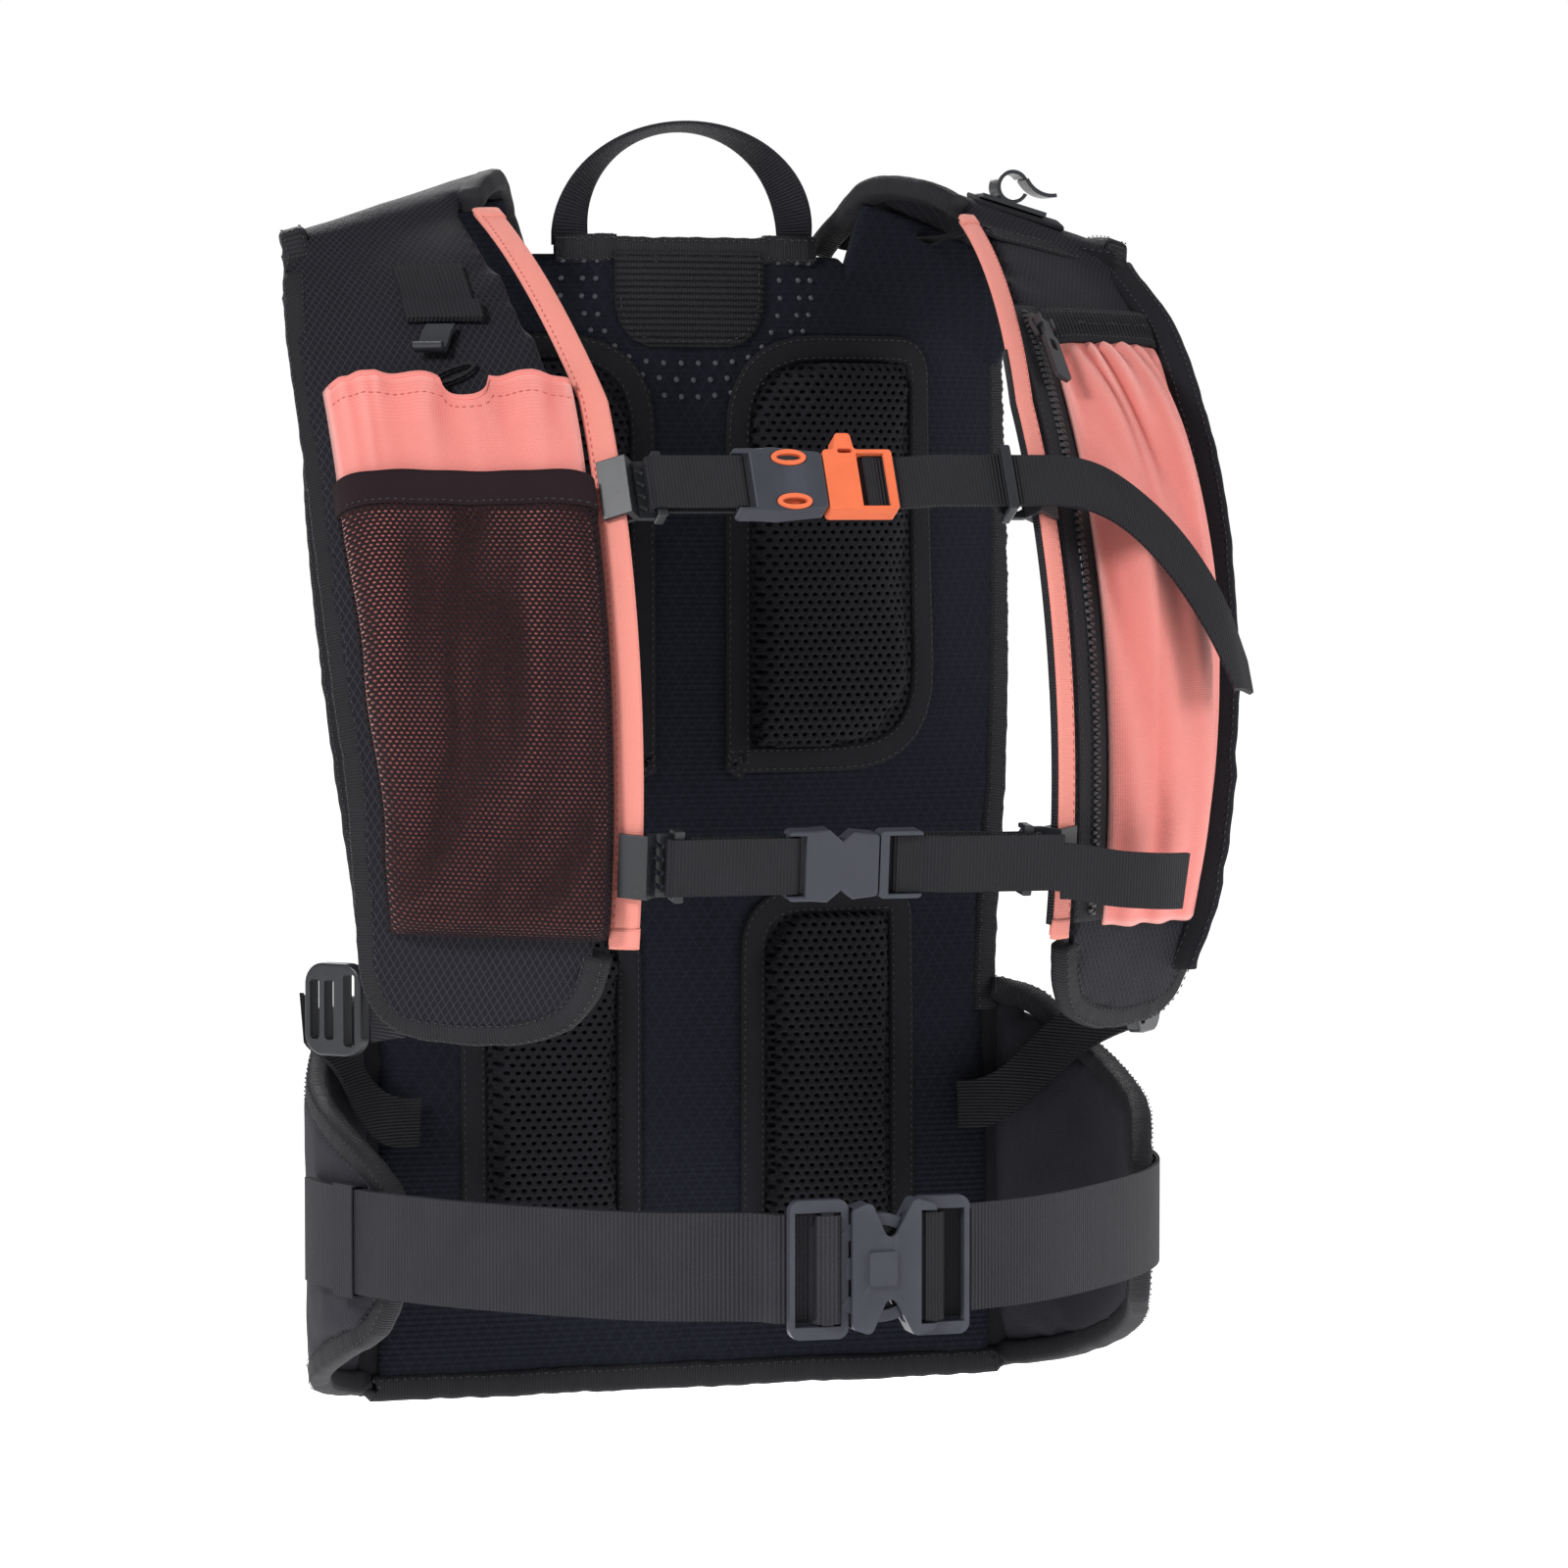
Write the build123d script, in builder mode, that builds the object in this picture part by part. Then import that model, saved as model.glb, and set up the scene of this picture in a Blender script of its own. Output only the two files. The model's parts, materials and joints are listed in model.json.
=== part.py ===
from build123d import *
from math import asin, atan2, cos, degrees, radians, sin
import os

# Hydration vest pack, as worn: +Z up, +X the wearer's left, -Y the chest side, +Y the bag side.
# The origin is on the centre line of the back panel's front face, level with the panel's bottom edge.
# All sizes are in millimetres.

os.makedirs("parts", exist_ok=True)

# ---------------------------------------------------------------- driving dimensions
CLEAR = 0.5            # air between neighbouring soft pieces
WEB = 1.6              # thickness of webbing
CHEST_WEB = 20.0       # width of the sternum webbing
BELT_WEB = 38.0        # width of the hip webbing

PANEL_THICK = 5.0      # back panel, mesh and foam together
PANEL_TOP = 437.0      # neck edge of the back panel
PANEL_HALF = 126.0     # half width at the waist
SHOULDER_HALF = 142.0  # half width at the shoulder blades

# The front of each strap is an arc in a vertical plane, carried outward along a slanted line.
RAIL_X = 78.0          # distance of the strap's inner edge from the centre line
ARC_R = 224.0          # radius of the strap's front, over the chest
ARC_Y = 19.0           # centre of that arc
ARC_Z = 240.0
TURN = 40.0            # how far the strap's face turns outward, degrees
STRAP_WIDTH = 121.0    # measured along the slanted line
STRAP_THICK = 9.0      # measured in the arc's own plane
RAIL_WIDTH = 11.0
RAIL_THICK = 3.2

UPPER_Z = 344.0        # height of the upper sternum strap
LOWER_Z = 214.0        # height of the lower sternum strap

BELT_Z = 73.0          # middle of the hip webbing
BELT_FRONT = 224.0     # distance from the panel to the hip buckle

ACROSS = Vector(cos(radians(TURN)), sin(radians(TURN)), 0)


# ---------------------------------------------------------------- helpers
def save(piece, node):
    """Label a finished sub-part and write it as its own STEP file."""
    piece.part.label = node
    export_step(piece.part, f"parts/{node}.step")


def arc_angle(z):
    """Angle up the strap's arc, in degrees, at height z on the rail."""
    return degrees(asin((z - ARC_Z) / ARC_R))


def strap_point(u, angle, lift=0.0):
    """Point on a right strap: u mm outward from the rail, an angle up the arc, lift along the radius."""
    reach = ARC_R + lift
    return Vector(
        RAIL_X + u * ACROSS.X,
        ARC_Y - reach * cos(radians(angle)) + u * ACROSS.Y,
        ARC_Z + reach * sin(radians(angle)),
    )


def strap_normal(angle):
    """Outward normal of the strap's face at an angle up the arc."""
    rise = Vector(0, sin(radians(angle)), cos(radians(angle)))
    return ACROSS.cross(rise).normalized()


def arc_plane(u):
    """Vertical plane of the strap's arc at u: x forward, y up, centred on the arc."""
    return Plane(
        origin=(RAIL_X + u * ACROSS.X, ARC_Y + u * ACROSS.Y, ARC_Z),
        x_dir=(0, -1, 0),
        z_dir=(-1, 0, 0),
    )


def strap_band(u0, u1, low, high, start, end, mode=Mode.ADD):
    """Add a curved plate lying on the strap, between two heights above its face."""
    with BuildSketch(arc_plane(u0)) as profile:
        with BuildLine():
            outer = CenterArc((0, 0), ARC_R + high, start, end - start)
            inner = CenterArc((0, 0), ARC_R + low, start, end - start)
            Line(outer @ 0, inner @ 0)
            Line(outer @ 1, inner @ 1)
        make_face()
    extrude(to_extrude=profile.sketch, amount=u1 - u0, dir=ACROSS, mode=mode)


def keep_front_outline(points, radii=None):
    """Trim the open part to an outline drawn in the front view (x, z)."""
    with BuildSketch(Plane.XZ) as outline:
        with BuildLine():
            if radii is None:
                Polyline(*points, close=True)
            else:
                FilletPolyline(*points, radius=radii, close=True)
        make_face()
    extrude(to_extrude=outline.sketch, amount=300, both=True, mode=Mode.INTERSECT)


def keep_forward_of(y):
    """Trim the open part to what lies on the chest side of y."""
    with BuildSketch(Plane.XZ.offset(-y)) as front:
        Rectangle(800, 1400)
    extrude(to_extrude=front.sketch, amount=400, mode=Mode.INTERSECT)


def panel_layer(front, back, mode=Mode.ADD):
    """Add the slab between two distances behind the back panel's front face."""
    half = 160.0
    sections = []
    for z, sweep_back in ((-4, 3), (120, 7), (230, 25), (340, 52), (450, 54)):
        with BuildSketch(Plane.XY.offset(z)) as section:
            with BuildLine():
                face = ThreePointArc((-half, sweep_back + front), (0, front), (half, sweep_back + front))
                rear = ThreePointArc((-half, sweep_back + back), (0, back), (half, sweep_back + back))
                Line(face @ 0, rear @ 0)
                Line(face @ 1, rear @ 1)
            make_face()
        sections.append(section.sketch)
    loft(sections=sections, mode=mode)


def ribbon(stations, width, thickness):
    """Add webbing through stations of (point, direction of travel, direction of its width)."""
    sections = []
    for point, travel, across in stations:
        with BuildSketch(Plane(origin=point, x_dir=across, z_dir=travel)) as section:
            Rectangle(width, thickness)
        sections.append(section.sketch)
    loft(sections=sections)


def mirrored(piece):
    """The other side's copy of a finished sub-part."""
    with BuildPart() as other:
        add(mirror(piece.part, about=Plane.YZ, mode=Mode.PRIVATE))
    return other


# ---------------------------------------------------------------- back panel
PANEL_OUTLINE = [
    (-PANEL_HALF, 0), (PANEL_HALF, 0), (PANEL_HALF, 165), (SHOULDER_HALF - 6, 250), (SHOULDER_HALF, 340),
    (SHOULDER_HALF, 402), (64, PANEL_TOP), (-64, PANEL_TOP), (-SHOULDER_HALF, 402), (-SHOULDER_HALF, 340),
    (6 - SHOULDER_HALF, 250), (-PANEL_HALF, 165),
]

with BuildPart() as back_panel:
    panel_layer(0, PANEL_THICK)
    keep_front_outline(PANEL_OUTLINE)
save(back_panel, "back_panel")

with BuildPart() as frame_sheet:
    panel_layer(PANEL_THICK + CLEAR, PANEL_THICK + 2.0)
    keep_front_outline([(-92, 24), (92, 24), (92, 330), (58, 400), (-58, 400), (-92, 330)], 14)
save(frame_sheet, "frame_sheet")

with BuildPart() as neck_binding:
    panel_layer(-1.2, PANEL_THICK + 1.2)
    keep_front_outline([
        (-62, PANEL_TOP + 0.3), (62, PANEL_TOP + 0.3), (62, PANEL_TOP + 4), (-62, PANEL_TOP + 4),
    ])
save(neck_binding, "neck_binding")

with BuildPart() as bottom_binding:
    panel_layer(-1.2, PANEL_THICK + 1.2)
    keep_front_outline([(-PANEL_HALF, -3.6), (PANEL_HALF, -3.6), (PANEL_HALF, -0.3), (-PANEL_HALF, -0.3)])
save(bottom_binding, "bottom_binding")

with BuildPart() as neck_patch:
    panel_layer(-1.6, -0.3)
    keep_front_outline([(-29, 432), (-29, 400), (29, 400), (29, 432)], 9)
save(neck_patch, "neck_patch")

PAD_RISE = 8.0
with BuildPart() as pad_upper_right:
    panel_layer(-PAD_RISE, -CLEAR)
    keep_front_outline(
        [(14, 235), (103, 235), (103, 404), (14, 404)], [2, 42, 16, 38]
    )
save(pad_upper_right, "pad_upper_right")
save(mirrored(pad_upper_right), "pad_upper_left")

with BuildPart() as pad_lower_right:
    panel_layer(-PAD_RISE, -CLEAR)
    keep_front_outline([(20, 38), (91, 38), (91, 190), (20, 190)], [8, 8, 12, 25])
save(pad_lower_right, "pad_lower_right")
save(mirrored(pad_lower_right), "pad_lower_left")

# ---------------------------------------------------------------- bag and reservoir
BAG_LEVELS = ((14, 98, 50), (100, 110, 76), (220, 112, 78), (330, 104, 66), (420, 70, 38))
SWEEP_AT = {14: 3.4, 100: 6.3, 220: 23.0, 330: 49.5, 420: 53.5}
BAG_FRONT = 8.0
BAG_WALL = 3.0


def bag_body(inset, mode=Mode.ADD):
    """Add the bag's lens-shaped body, drawn in on every side by inset."""
    sections = []
    for z, half, depth in BAG_LEVELS:
        level = z
        if z == BAG_LEVELS[0][0]:
            level = z + inset
        if z == BAG_LEVELS[-1][0]:
            level = z - inset
        wide = half - 1.6 * inset
        edge = SWEEP_AT[z] * (wide / 160.0) ** 2 + BAG_FRONT + inset
        with BuildSketch(Plane.XY.offset(level)) as section:
            with BuildLine():
                face = ThreePointArc((-wide, edge), (0, BAG_FRONT + inset), (wide, edge))
                rear = ThreePointArc((-wide, edge + 5), (0, depth - inset), (wide, edge + 5))
                Line(face @ 0, rear @ 0)
                Line(face @ 1, rear @ 1)
            make_face()
        sections.append(section.sketch)
    loft(sections=sections, mode=mode)


with BuildPart() as main_bag:
    bag_body(0)
    bag_body(BAG_WALL, mode=Mode.SUBTRACT)
save(main_bag, "main_bag")

with BuildPart() as reservoir:
    panel_layer(13, 31)
    keep_front_outline([(-66, 36), (66, 36), (66, 318), (-66, 318)], 24)
save(reservoir, "reservoir")

with BuildPart() as reservoir_closure:
    panel_layer(15, 28)
    keep_front_outline([(-60, 319), (60, 319), (60, 331), (-60, 331)], 3)
save(reservoir_closure, "reservoir_closure")

with BuildPart() as reservoir_hanger:
    with BuildSketch(Plane.XZ.offset(-21)):
        with Locations((0, 345)):
            Rectangle(22, 26)
        with Locations((0, 347)):
            Rectangle(14, 16, mode=Mode.SUBTRACT)
    extrude(amount=1.2, both=True)
save(reservoir_hanger, "reservoir_hanger")

# Rear zip: a flat arc across the bag at the level of its fourth section.
ZIP_LEVEL, ZIP_BAG_HALF, ZIP_BAG_DEPTH = BAG_LEVELS[3]
ZIP_EDGE = SWEEP_AT[ZIP_LEVEL] * (ZIP_BAG_HALF / 160.0) ** 2 + BAG_FRONT + 5
ZIP_SAG = ZIP_BAG_DEPTH - ZIP_EDGE
REAR_R = (ZIP_BAG_HALF ** 2 + ZIP_SAG ** 2) / (2 * ZIP_SAG)
REAR_Y = ZIP_BAG_DEPTH - REAR_R
REAR_PARK = 27.0       # degrees from the centre line to the parked slider


def rear_band(low, high, half_angle, height):
    """Add an upright arc-shaped strip outside the bag's rear face at the zip."""
    with BuildSketch(Plane.XY.offset(ZIP_LEVEL)) as strip:
        with BuildLine():
            outer = CenterArc((0, REAR_Y), REAR_R + high, 90 - half_angle, 2 * half_angle)
            inner = CenterArc((0, REAR_Y), REAR_R + low, 90 - half_angle, 2 * half_angle)
            Line(outer @ 0, inner @ 0)
            Line(outer @ 1, inner @ 1)
        make_face()
    extrude(to_extrude=strip.sketch, amount=height / 2, both=True)


with BuildPart() as rear_zipper:
    rear_band(2.6, 3.6, 31, 24)
    rear_band(3.6, 5.4, 31, 5)
save(rear_zipper, "rear_zipper")


def rear_slider_plane(out, down=0.0):
    """Plane facing rearward at the parked slider: x along the chain, y up."""
    turn = radians(REAR_PARK)
    outward = Vector(sin(turn), cos(turn), 0)
    centre = Vector(0, REAR_Y, ZIP_LEVEL - down) + outward * (REAR_R + out)
    return Plane(origin=centre, x_dir=(-cos(turn), sin(turn), 0), z_dir=outward)


with BuildPart() as rear_zip_slider:
    with BuildSketch(rear_slider_plane(5.9)):
        RectangleRounded(11, 8.5, 2.5)
    extrude(amount=1.6)
    with BuildSketch(rear_slider_plane(7.5)):
        with GridLocations(7.0, 1, 2, 1):
            Rectangle(1.4, 4.5)
    extrude(amount=3.4)
save(rear_zip_slider, "rear_zip_slider")

with BuildPart() as rear_zip_pull:
    with BuildSketch(rear_slider_plane(8.7)):
        with Locations((0, -2.5)):
            Rectangle(4.8, 8.0)
        with Locations((0, -17)):
            RectangleRounded(6.5, 25, 2.5)
        with Locations((0, -25.5)):
            RectangleRounded(3.4, 4, 1.2, mode=Mode.SUBTRACT)
    extrude(amount=2.0)
save(rear_zip_pull, "rear_zip_pull")

# ---------------------------------------------------------------- haul handle
HANDLE_FOOT = PANEL_TOP + 6.0
HANDLE_RISE = 41.0
HANDLE_SPREAD = 45.0
HANDLE_Y = 10.0

with BuildPart() as haul_handle:
    handle_stations = []
    for step in range(9):
        swing = radians(180 - 22.5 * step)
        twist = radians(78) * sin(radians(22.5 * step))
        here = Vector(
            HANDLE_SPREAD * cos(swing),
            HANDLE_Y - 3 * sin(swing),
            HANDLE_FOOT + HANDLE_RISE * sin(swing),
        )
        along = Vector(HANDLE_SPREAD * sin(swing), 0, -HANDLE_RISE * cos(swing)).normalized()
        flat = Vector(0, 1, 0).cross(along)
        across = flat * cos(twist) + Vector(0, 1, 0) * sin(twist)
        handle_stations.append((here, along, across))
    ribbon(handle_stations, 13.0, 2.0)
save(haul_handle, "haul_handle")

# ---------------------------------------------------------------- shoulder straps
RAIL_START = -14.0
RAIL_END = 67.0
FOOT_START = -24.0
RIDGE_END = 79.0
RIDGE_FRONT = 26.0     # the front plate ends this far in front of the panel
STRAP_OUTLINE = [
    (86, 184), (92, 158), (118, 149), (145, 151), (157, 166), (162, 220), (168, 280), (171, 340), (170, 400),
    (165, 440), (160, 480), (100, 480), (100, 446), (86, 372),
]

with BuildPart() as shoulder_strap_right:
    strap_band(4, STRAP_WIDTH, -STRAP_THICK, -0.4, FOOT_START, RIDGE_END)
    keep_front_outline(STRAP_OUTLINE)
    keep_forward_of(-RIDGE_FRONT)
    yoke = (
        ((101, 33.5, 423.5), (86, 10, -38), 84),
        ((112, 6, 447.5), (80, 4, -32), 82),
        ((124.5, -23.5, 447.5), (74, 0, -21), 80),
        ((125, -36, 443.5), (72, 0, -24), 78),
    )
    yoke_sections = []
    yoke_travel = ((-4, -28, 20), (12, -30, 14), (4, -28, 0), (0, -20, -8))
    for (centre, across, wide), travel in zip(yoke, yoke_travel):
        side = Vector(*across).normalized()
        go = Vector(*travel)
        go = (go - side * go.dot(side)).normalized()
        with BuildSketch(Plane(origin=centre, x_dir=side, z_dir=go)) as cut:
            Rectangle(wide, 7)
        yoke_sections.append(cut.sketch)
    loft(sections=yoke_sections)
save(shoulder_strap_right, "shoulder_strap_right")
save(mirrored(shoulder_strap_right), "shoulder_strap_left")

with BuildPart() as rail_right:
    strap_band(-2, 34, -RAIL_THICK / 2, RAIL_THICK / 2, RAIL_START, RAIL_END)
    keep_front_outline([
        (70, 180), (85.6, 180), (85.6, 372), (99.6, 446), (99.6, 460), (90, 460), (88, 446), (76, 380), (70, 380),
    ])
save(rail_right, "rail_right")
save(mirrored(rail_right), "rail_left")


# ---------------------------------------------------------------- hip wings and belt
WING_THICK = 6.5
WING_PATH = [(131.5, 10), (148, -10), (157, -48), (154, -80), (143, -112)]
WING_SIDE = [
    (30, 3), (30, 148), (10, 150), (-25, 128), (-70, 116), (-104, 99), (-118, 88), (-118, 58), (-96, 37),
    (-40, 14), (0, 3),
]
BELT_PATH = [(164, -62), (161, -86), (150, -118), (125, -155), (96, -184), (64, -206), (36, -218)]

with BuildPart() as hip_wing_right:
    with BuildSketch() as wing_plan:
        with BuildLine() as wing_line:
            Spline(*WING_PATH)
        trace(wing_line.line, line_width=WING_THICK)
    extrude(to_extrude=wing_plan.sketch, amount=160)
    with BuildSketch(Plane.YZ) as wing_side:
        with BuildLine():
            Polyline(*WING_SIDE, close=True)
        make_face()
    extrude(to_extrude=wing_side.sketch, amount=200, mode=Mode.INTERSECT)
save(hip_wing_right, "hip_wing_right")
save(mirrored(hip_wing_right), "hip_wing_left")

BAR_X = 19.0           # hip buckle: distance of each webbing bar from its middle
BUCKLE_X = 4.0         # the hip buckle's middle, off the centre line
BUCKLE_Y = -BELT_FRONT
BAR_HALF = 2.2
WRAP = 3.5             # webbing turns round a bar this far from its middle
FRONT_LAYER = -3.2     # webbing over the front of a bar, from the buckle's mid plane
NEAR_LAYER = 3.2       # webbing just behind the buckle
MAIN_LAYER = 5.3       # the layer behind that
FAR_LAYER = 7.4        # the run that carries the releasing half


def belt_curve(at_wing, at_buckle, side, inner_x):
    """Plan line of one belt layer, from its depth at the wing to its depth at the buckle."""
    points = []
    for index, (x, y) in enumerate(BELT_PATH):
        depth = at_wing + (at_buckle - at_wing) * index / len(BELT_PATH)
        points.append((side * (x - 0.55 * depth), y + 0.8 * depth))
    return points + [(inner_x, BUCKLE_Y + at_buckle)]


with BuildPart() as hip_webbing_left:
    bar = BUCKLE_X - BAR_X
    with BuildSketch(Plane.XY.offset(BELT_Z)) as main_run:
        with BuildLine() as main_line:
            Spline(*belt_curve(0.0, MAIN_LAYER, -1, bar + 0.5), tangents=[(0, -1), (1, 0)])
        trace(main_line.line, line_width=WEB)
    extrude(to_extrude=main_run.sketch, amount=BELT_WEB / 2, both=True)
    with BuildSketch(Plane.XY.offset(BELT_Z)) as wrap:
        with BuildLine() as wrap_line:
            Polyline(
                (bar, BUCKLE_Y + MAIN_LAYER),
                (bar + WRAP, BUCKLE_Y + MAIN_LAYER - 1.0),
                (bar + WRAP, BUCKLE_Y - 2.2),
                (bar + WRAP - 1, BUCKLE_Y + FRONT_LAYER),
                (bar - WRAP + 1, BUCKLE_Y + FRONT_LAYER),
                (bar - WRAP, BUCKLE_Y - 2.2),
                (bar - WRAP, BUCKLE_Y + 2.2),
                (bar - WRAP - 1.2, BUCKLE_Y + NEAR_LAYER),
                (bar - 10.0, BUCKLE_Y + NEAR_LAYER),
            )
        trace(wrap_line.line, line_width=WEB)
    extrude(to_extrude=wrap.sketch, amount=BELT_WEB / 2, both=True)
    tail_points = belt_curve(-2.1, NEAR_LAYER, -1, bar - 9.5)
    with BuildSketch(Plane.XY.offset(BELT_Z)) as tail:
        with BuildLine() as tail_line:
            Spline(*tail_points, tangents=[(0, -1), (1, 0)])
        trace(tail_line.line, line_width=WEB)
    extrude(to_extrude=tail.sketch, amount=BELT_WEB / 2, both=True)
save(hip_webbing_left, "hip_webbing_left")

with BuildPart() as hip_webbing_right:
    with BuildSketch(Plane.XY.offset(BELT_Z)) as run:
        with BuildLine() as run_line:
            Spline(*belt_curve(0.9, FAR_LAYER, 1, BUCKLE_X + BAR_X - 8), tangents=[(0, -1), (-1, 0)])
        trace(run_line.line, line_width=WEB)
    extrude(to_extrude=run.sketch, amount=BELT_WEB / 2, both=True)
save(hip_webbing_right, "hip_webbing_right")

# Elastic sleeve round both layers of the left belt, across the wing's front end.
with BuildPart() as belt_keeper:
    with BuildSketch(Plane(origin=(-157.2, -99.5, BELT_Z), x_dir=(0.93, 0.36, 0), z_dir=(0.36, -0.93, 0))):
        Rectangle(6.4, BELT_WEB + 3.0)
        Rectangle(5.0, BELT_WEB + 1.4, mode=Mode.SUBTRACT)
    extrude(amount=6, both=True)
save(belt_keeper, "belt_keeper")


def hip_plane(back):
    """Face of the hip buckle seen from the front, back millimetres behind its middle."""
    return Plane(origin=(BUCKLE_X, BUCKLE_Y + back, BELT_Z), x_dir=(1, 0, 0), z_dir=(0, -1, 0))


HIP_HALF = 24.5        # half height of the hip buckle
BAR_REACH = BELT_WEB / 2 + 1.0


def hip_frame(side):
    """Add one webbing frame of the hip buckle: end bar, inner bar and the two cheeks between them."""
    with BuildSketch(hip_plane(2.0)) as frame:
        with Locations((side * 22.25, 0)):
            RectangleRounded(21.5, 2 * HIP_HALF, 4)
        with Locations((side * 22.7, 0)):
            Rectangle(16.8, 2 * BAR_REACH, mode=Mode.SUBTRACT)
    extrude(to_extrude=frame.sketch, amount=4)
    with BuildSketch(hip_plane(1.5)) as bar:
        with Locations((side * BAR_X, 0)):
            Rectangle(2 * BAR_HALF, 2 * BAR_REACH + 1)
    extrude(to_extrude=bar.sketch, amount=3)


with BuildPart() as hip_buckle_male:
    hip_frame(-1)
    with BuildSketch(hip_plane(2.2)) as prongs:
        with BuildLine():
            Polyline((-12.5, -4), (6, -2.5), (6, 2.5), (-12.5, 4), close=True)
        make_face()
        with BuildLine() as upper_prong:
            ThreePointArc((-12.8, 11), (-4, 16.6), (7, 15.4))
        trace(upper_prong.line, line_width=4.2)
        with BuildLine() as lower_prong:
            ThreePointArc((-12.8, -11), (-4, -16.6), (7, -15.4))
        trace(lower_prong.line, line_width=4.2)
    extrude(to_extrude=prongs.sketch, amount=4.4)
save(hip_buckle_male, "hip_buckle_male")

with BuildPart() as hip_buckle_female:
    with BuildSketch(hip_plane(5.0)) as hourglass:
        with BuildLine():
            FilletPolyline(
                (-11, -21), (-11, 21), (-4, 23.5), (3, 8.0), (12, 24.5), (20, 22), (20, -22), (12, -24.5),
                (3, -8.0), (-4, -23.5), radius=2.5, close=True,
            )
        make_face()
    extrude(amount=10)
    with BuildSketch(hip_plane(2.8)) as cavity:
        with Locations((-1.5, 0)):
            Rectangle(22, 42)
    extrude(amount=5.6, mode=Mode.SUBTRACT)
    with BuildSketch(hip_plane(6)) as window_room:
        with Locations((24.3, 0)):
            Rectangle(20, 2 * BAR_REACH)
    extrude(amount=12, mode=Mode.SUBTRACT)
    hip_frame(1)
    with BuildSketch(hip_plane(-5.0)) as block:
        RectangleRounded(11, 13, 2)
    extrude(amount=1.2, taper=20)
save(hip_buckle_female, "hip_buckle_female")

with BuildPart() as hip_loop:
    edge = BUCKLE_X + BAR_X
    with BuildSketch(Plane.XY.offset(BELT_Z)) as loop:
        with BuildLine() as loop_line:
            Polyline(
                (edge + 16, BUCKLE_Y + NEAR_LAYER),
                (edge + WRAP + 1.2, BUCKLE_Y + NEAR_LAYER),
                (edge + WRAP, BUCKLE_Y + 2.2),
                (edge + WRAP, BUCKLE_Y - 2.2),
                (edge + WRAP - 1, BUCKLE_Y + FRONT_LAYER),
                (edge - WRAP + 1, BUCKLE_Y + FRONT_LAYER),
                (edge - WRAP, BUCKLE_Y - 2.2),
                (edge - WRAP, BUCKLE_Y + 4.2),
                (edge - WRAP + 1, BUCKLE_Y + MAIN_LAYER),
                (edge + 16, BUCKLE_Y + MAIN_LAYER),
            )
        trace(loop_line.line, line_width=WEB)
    extrude(to_extrude=loop.sketch, amount=BELT_WEB / 2, both=True)
save(hip_loop, "hip_loop")


# ---------------------------------------------------------------- sternum straps
def chest_section(z):
    """Plane across the chest at a sternum strap: x sideways, y forward from the rails."""
    angle = radians(arc_angle(z))
    return Plane(
        origin=(0, ARC_Y - ARC_R * cos(angle), ARC_Z + ARC_R * sin(angle)),
        x_dir=(1, 0, 0),
        z_dir=(0, -sin(angle), -cos(angle)),
    )


def chest_face(z, lift):
    """Plane facing forward at a sternum strap, lift millimetres in front of the rails: y runs up the rails."""
    angle = radians(arc_angle(z))
    reach = ARC_R + lift
    return Plane(
        origin=(0, ARC_Y - reach * cos(angle), ARC_Z + reach * sin(angle)),
        x_dir=(1, 0, 0),
        z_dir=(0, -cos(angle), sin(angle)),
    )


CLIP_HALF = 11.25
CLIP_BAR_IN = 62.5     # inner edge of the clip's webbing bar


def rail_clip(z, bar_lift):
    """Right-hand rail clip: a channel round the rail, a slotted plate and a bar for the webbing."""
    angle = radians(arc_angle(z))
    tilt = degrees(atan2(-ACROSS.Y * cos(angle), ACROSS.X))
    run = Vector(cos(radians(tilt)), sin(radians(tilt)), 0)
    with BuildPart() as clip:
        with BuildSketch(chest_section(z)):
            with Locations((RAIL_X - 0.3 * run.X, -0.3 * run.Y)):
                Rectangle(11.0, 8.0, rotation=tilt)
            with Locations((RAIL_X + 2.0 * run.X, 2.0 * run.Y)):
                Rectangle(11.2, RAIL_THICK + 1.5, rotation=tilt, mode=Mode.SUBTRACT)
        extrude(amount=CLIP_HALF, both=True)
        with BuildSketch(chest_face(z, -1.0)):
            with Locations((CLIP_BAR_IN + 5.7, 0)):
                RectangleRounded(11.4, 2 * CLIP_HALF, 3)
            with Locations((70.2, -7.2), (70.2, -2.4), (70.2, 2.4), (70.2, 7.2)):
                Rectangle(3.6, 1.5, rotation=28, mode=Mode.SUBTRACT)
        extrude(amount=2.0)
        with BuildSketch(chest_face(z, -1.0)):
            with Locations((64.2, -11.7), (64.2, 11.7)):
                RectangleRounded(3.5, 1.9, 0.7)
        extrude(amount=bar_lift + 3.2)
        with BuildSketch(chest_face(z, bar_lift)):
            with Locations((64.25, 0)):
                RectangleRounded(3.5, 2 * 12.6, 1.2)
        extrude(amount=2.2)
    return clip


LOOP_BACK = 2.9        # back layer of a webbing loop, in front of the rails
LOOP_FRONT = 7.3
LOOP_MID = 5.1


def racetrack(z, x0, x1):
    """Sewn loop of webbing round two bars, between x0 and x1."""
    with BuildPart() as loop:
        with BuildSketch(chest_section(z)):
            with Locations(((x0 + x1) / 2, LOOP_MID)):
                SlotCenterToCenter(abs(x1 - x0), LOOP_FRONT - LOOP_BACK + WEB)
                SlotCenterToCenter(abs(x1 - x0), LOOP_FRONT - LOOP_BACK - WEB, mode=Mode.SUBTRACT)
        extrude(amount=CHEST_WEB / 2, both=True)
    return loop


FEMALE_LENGTH = 33.0
SOCKET_DEPTH = 19.0
SHELL_BACK = 1.0       # buckle shells run from here to SHELL_FRONT in front of the rails
SHELL_FRONT = 9.0


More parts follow.
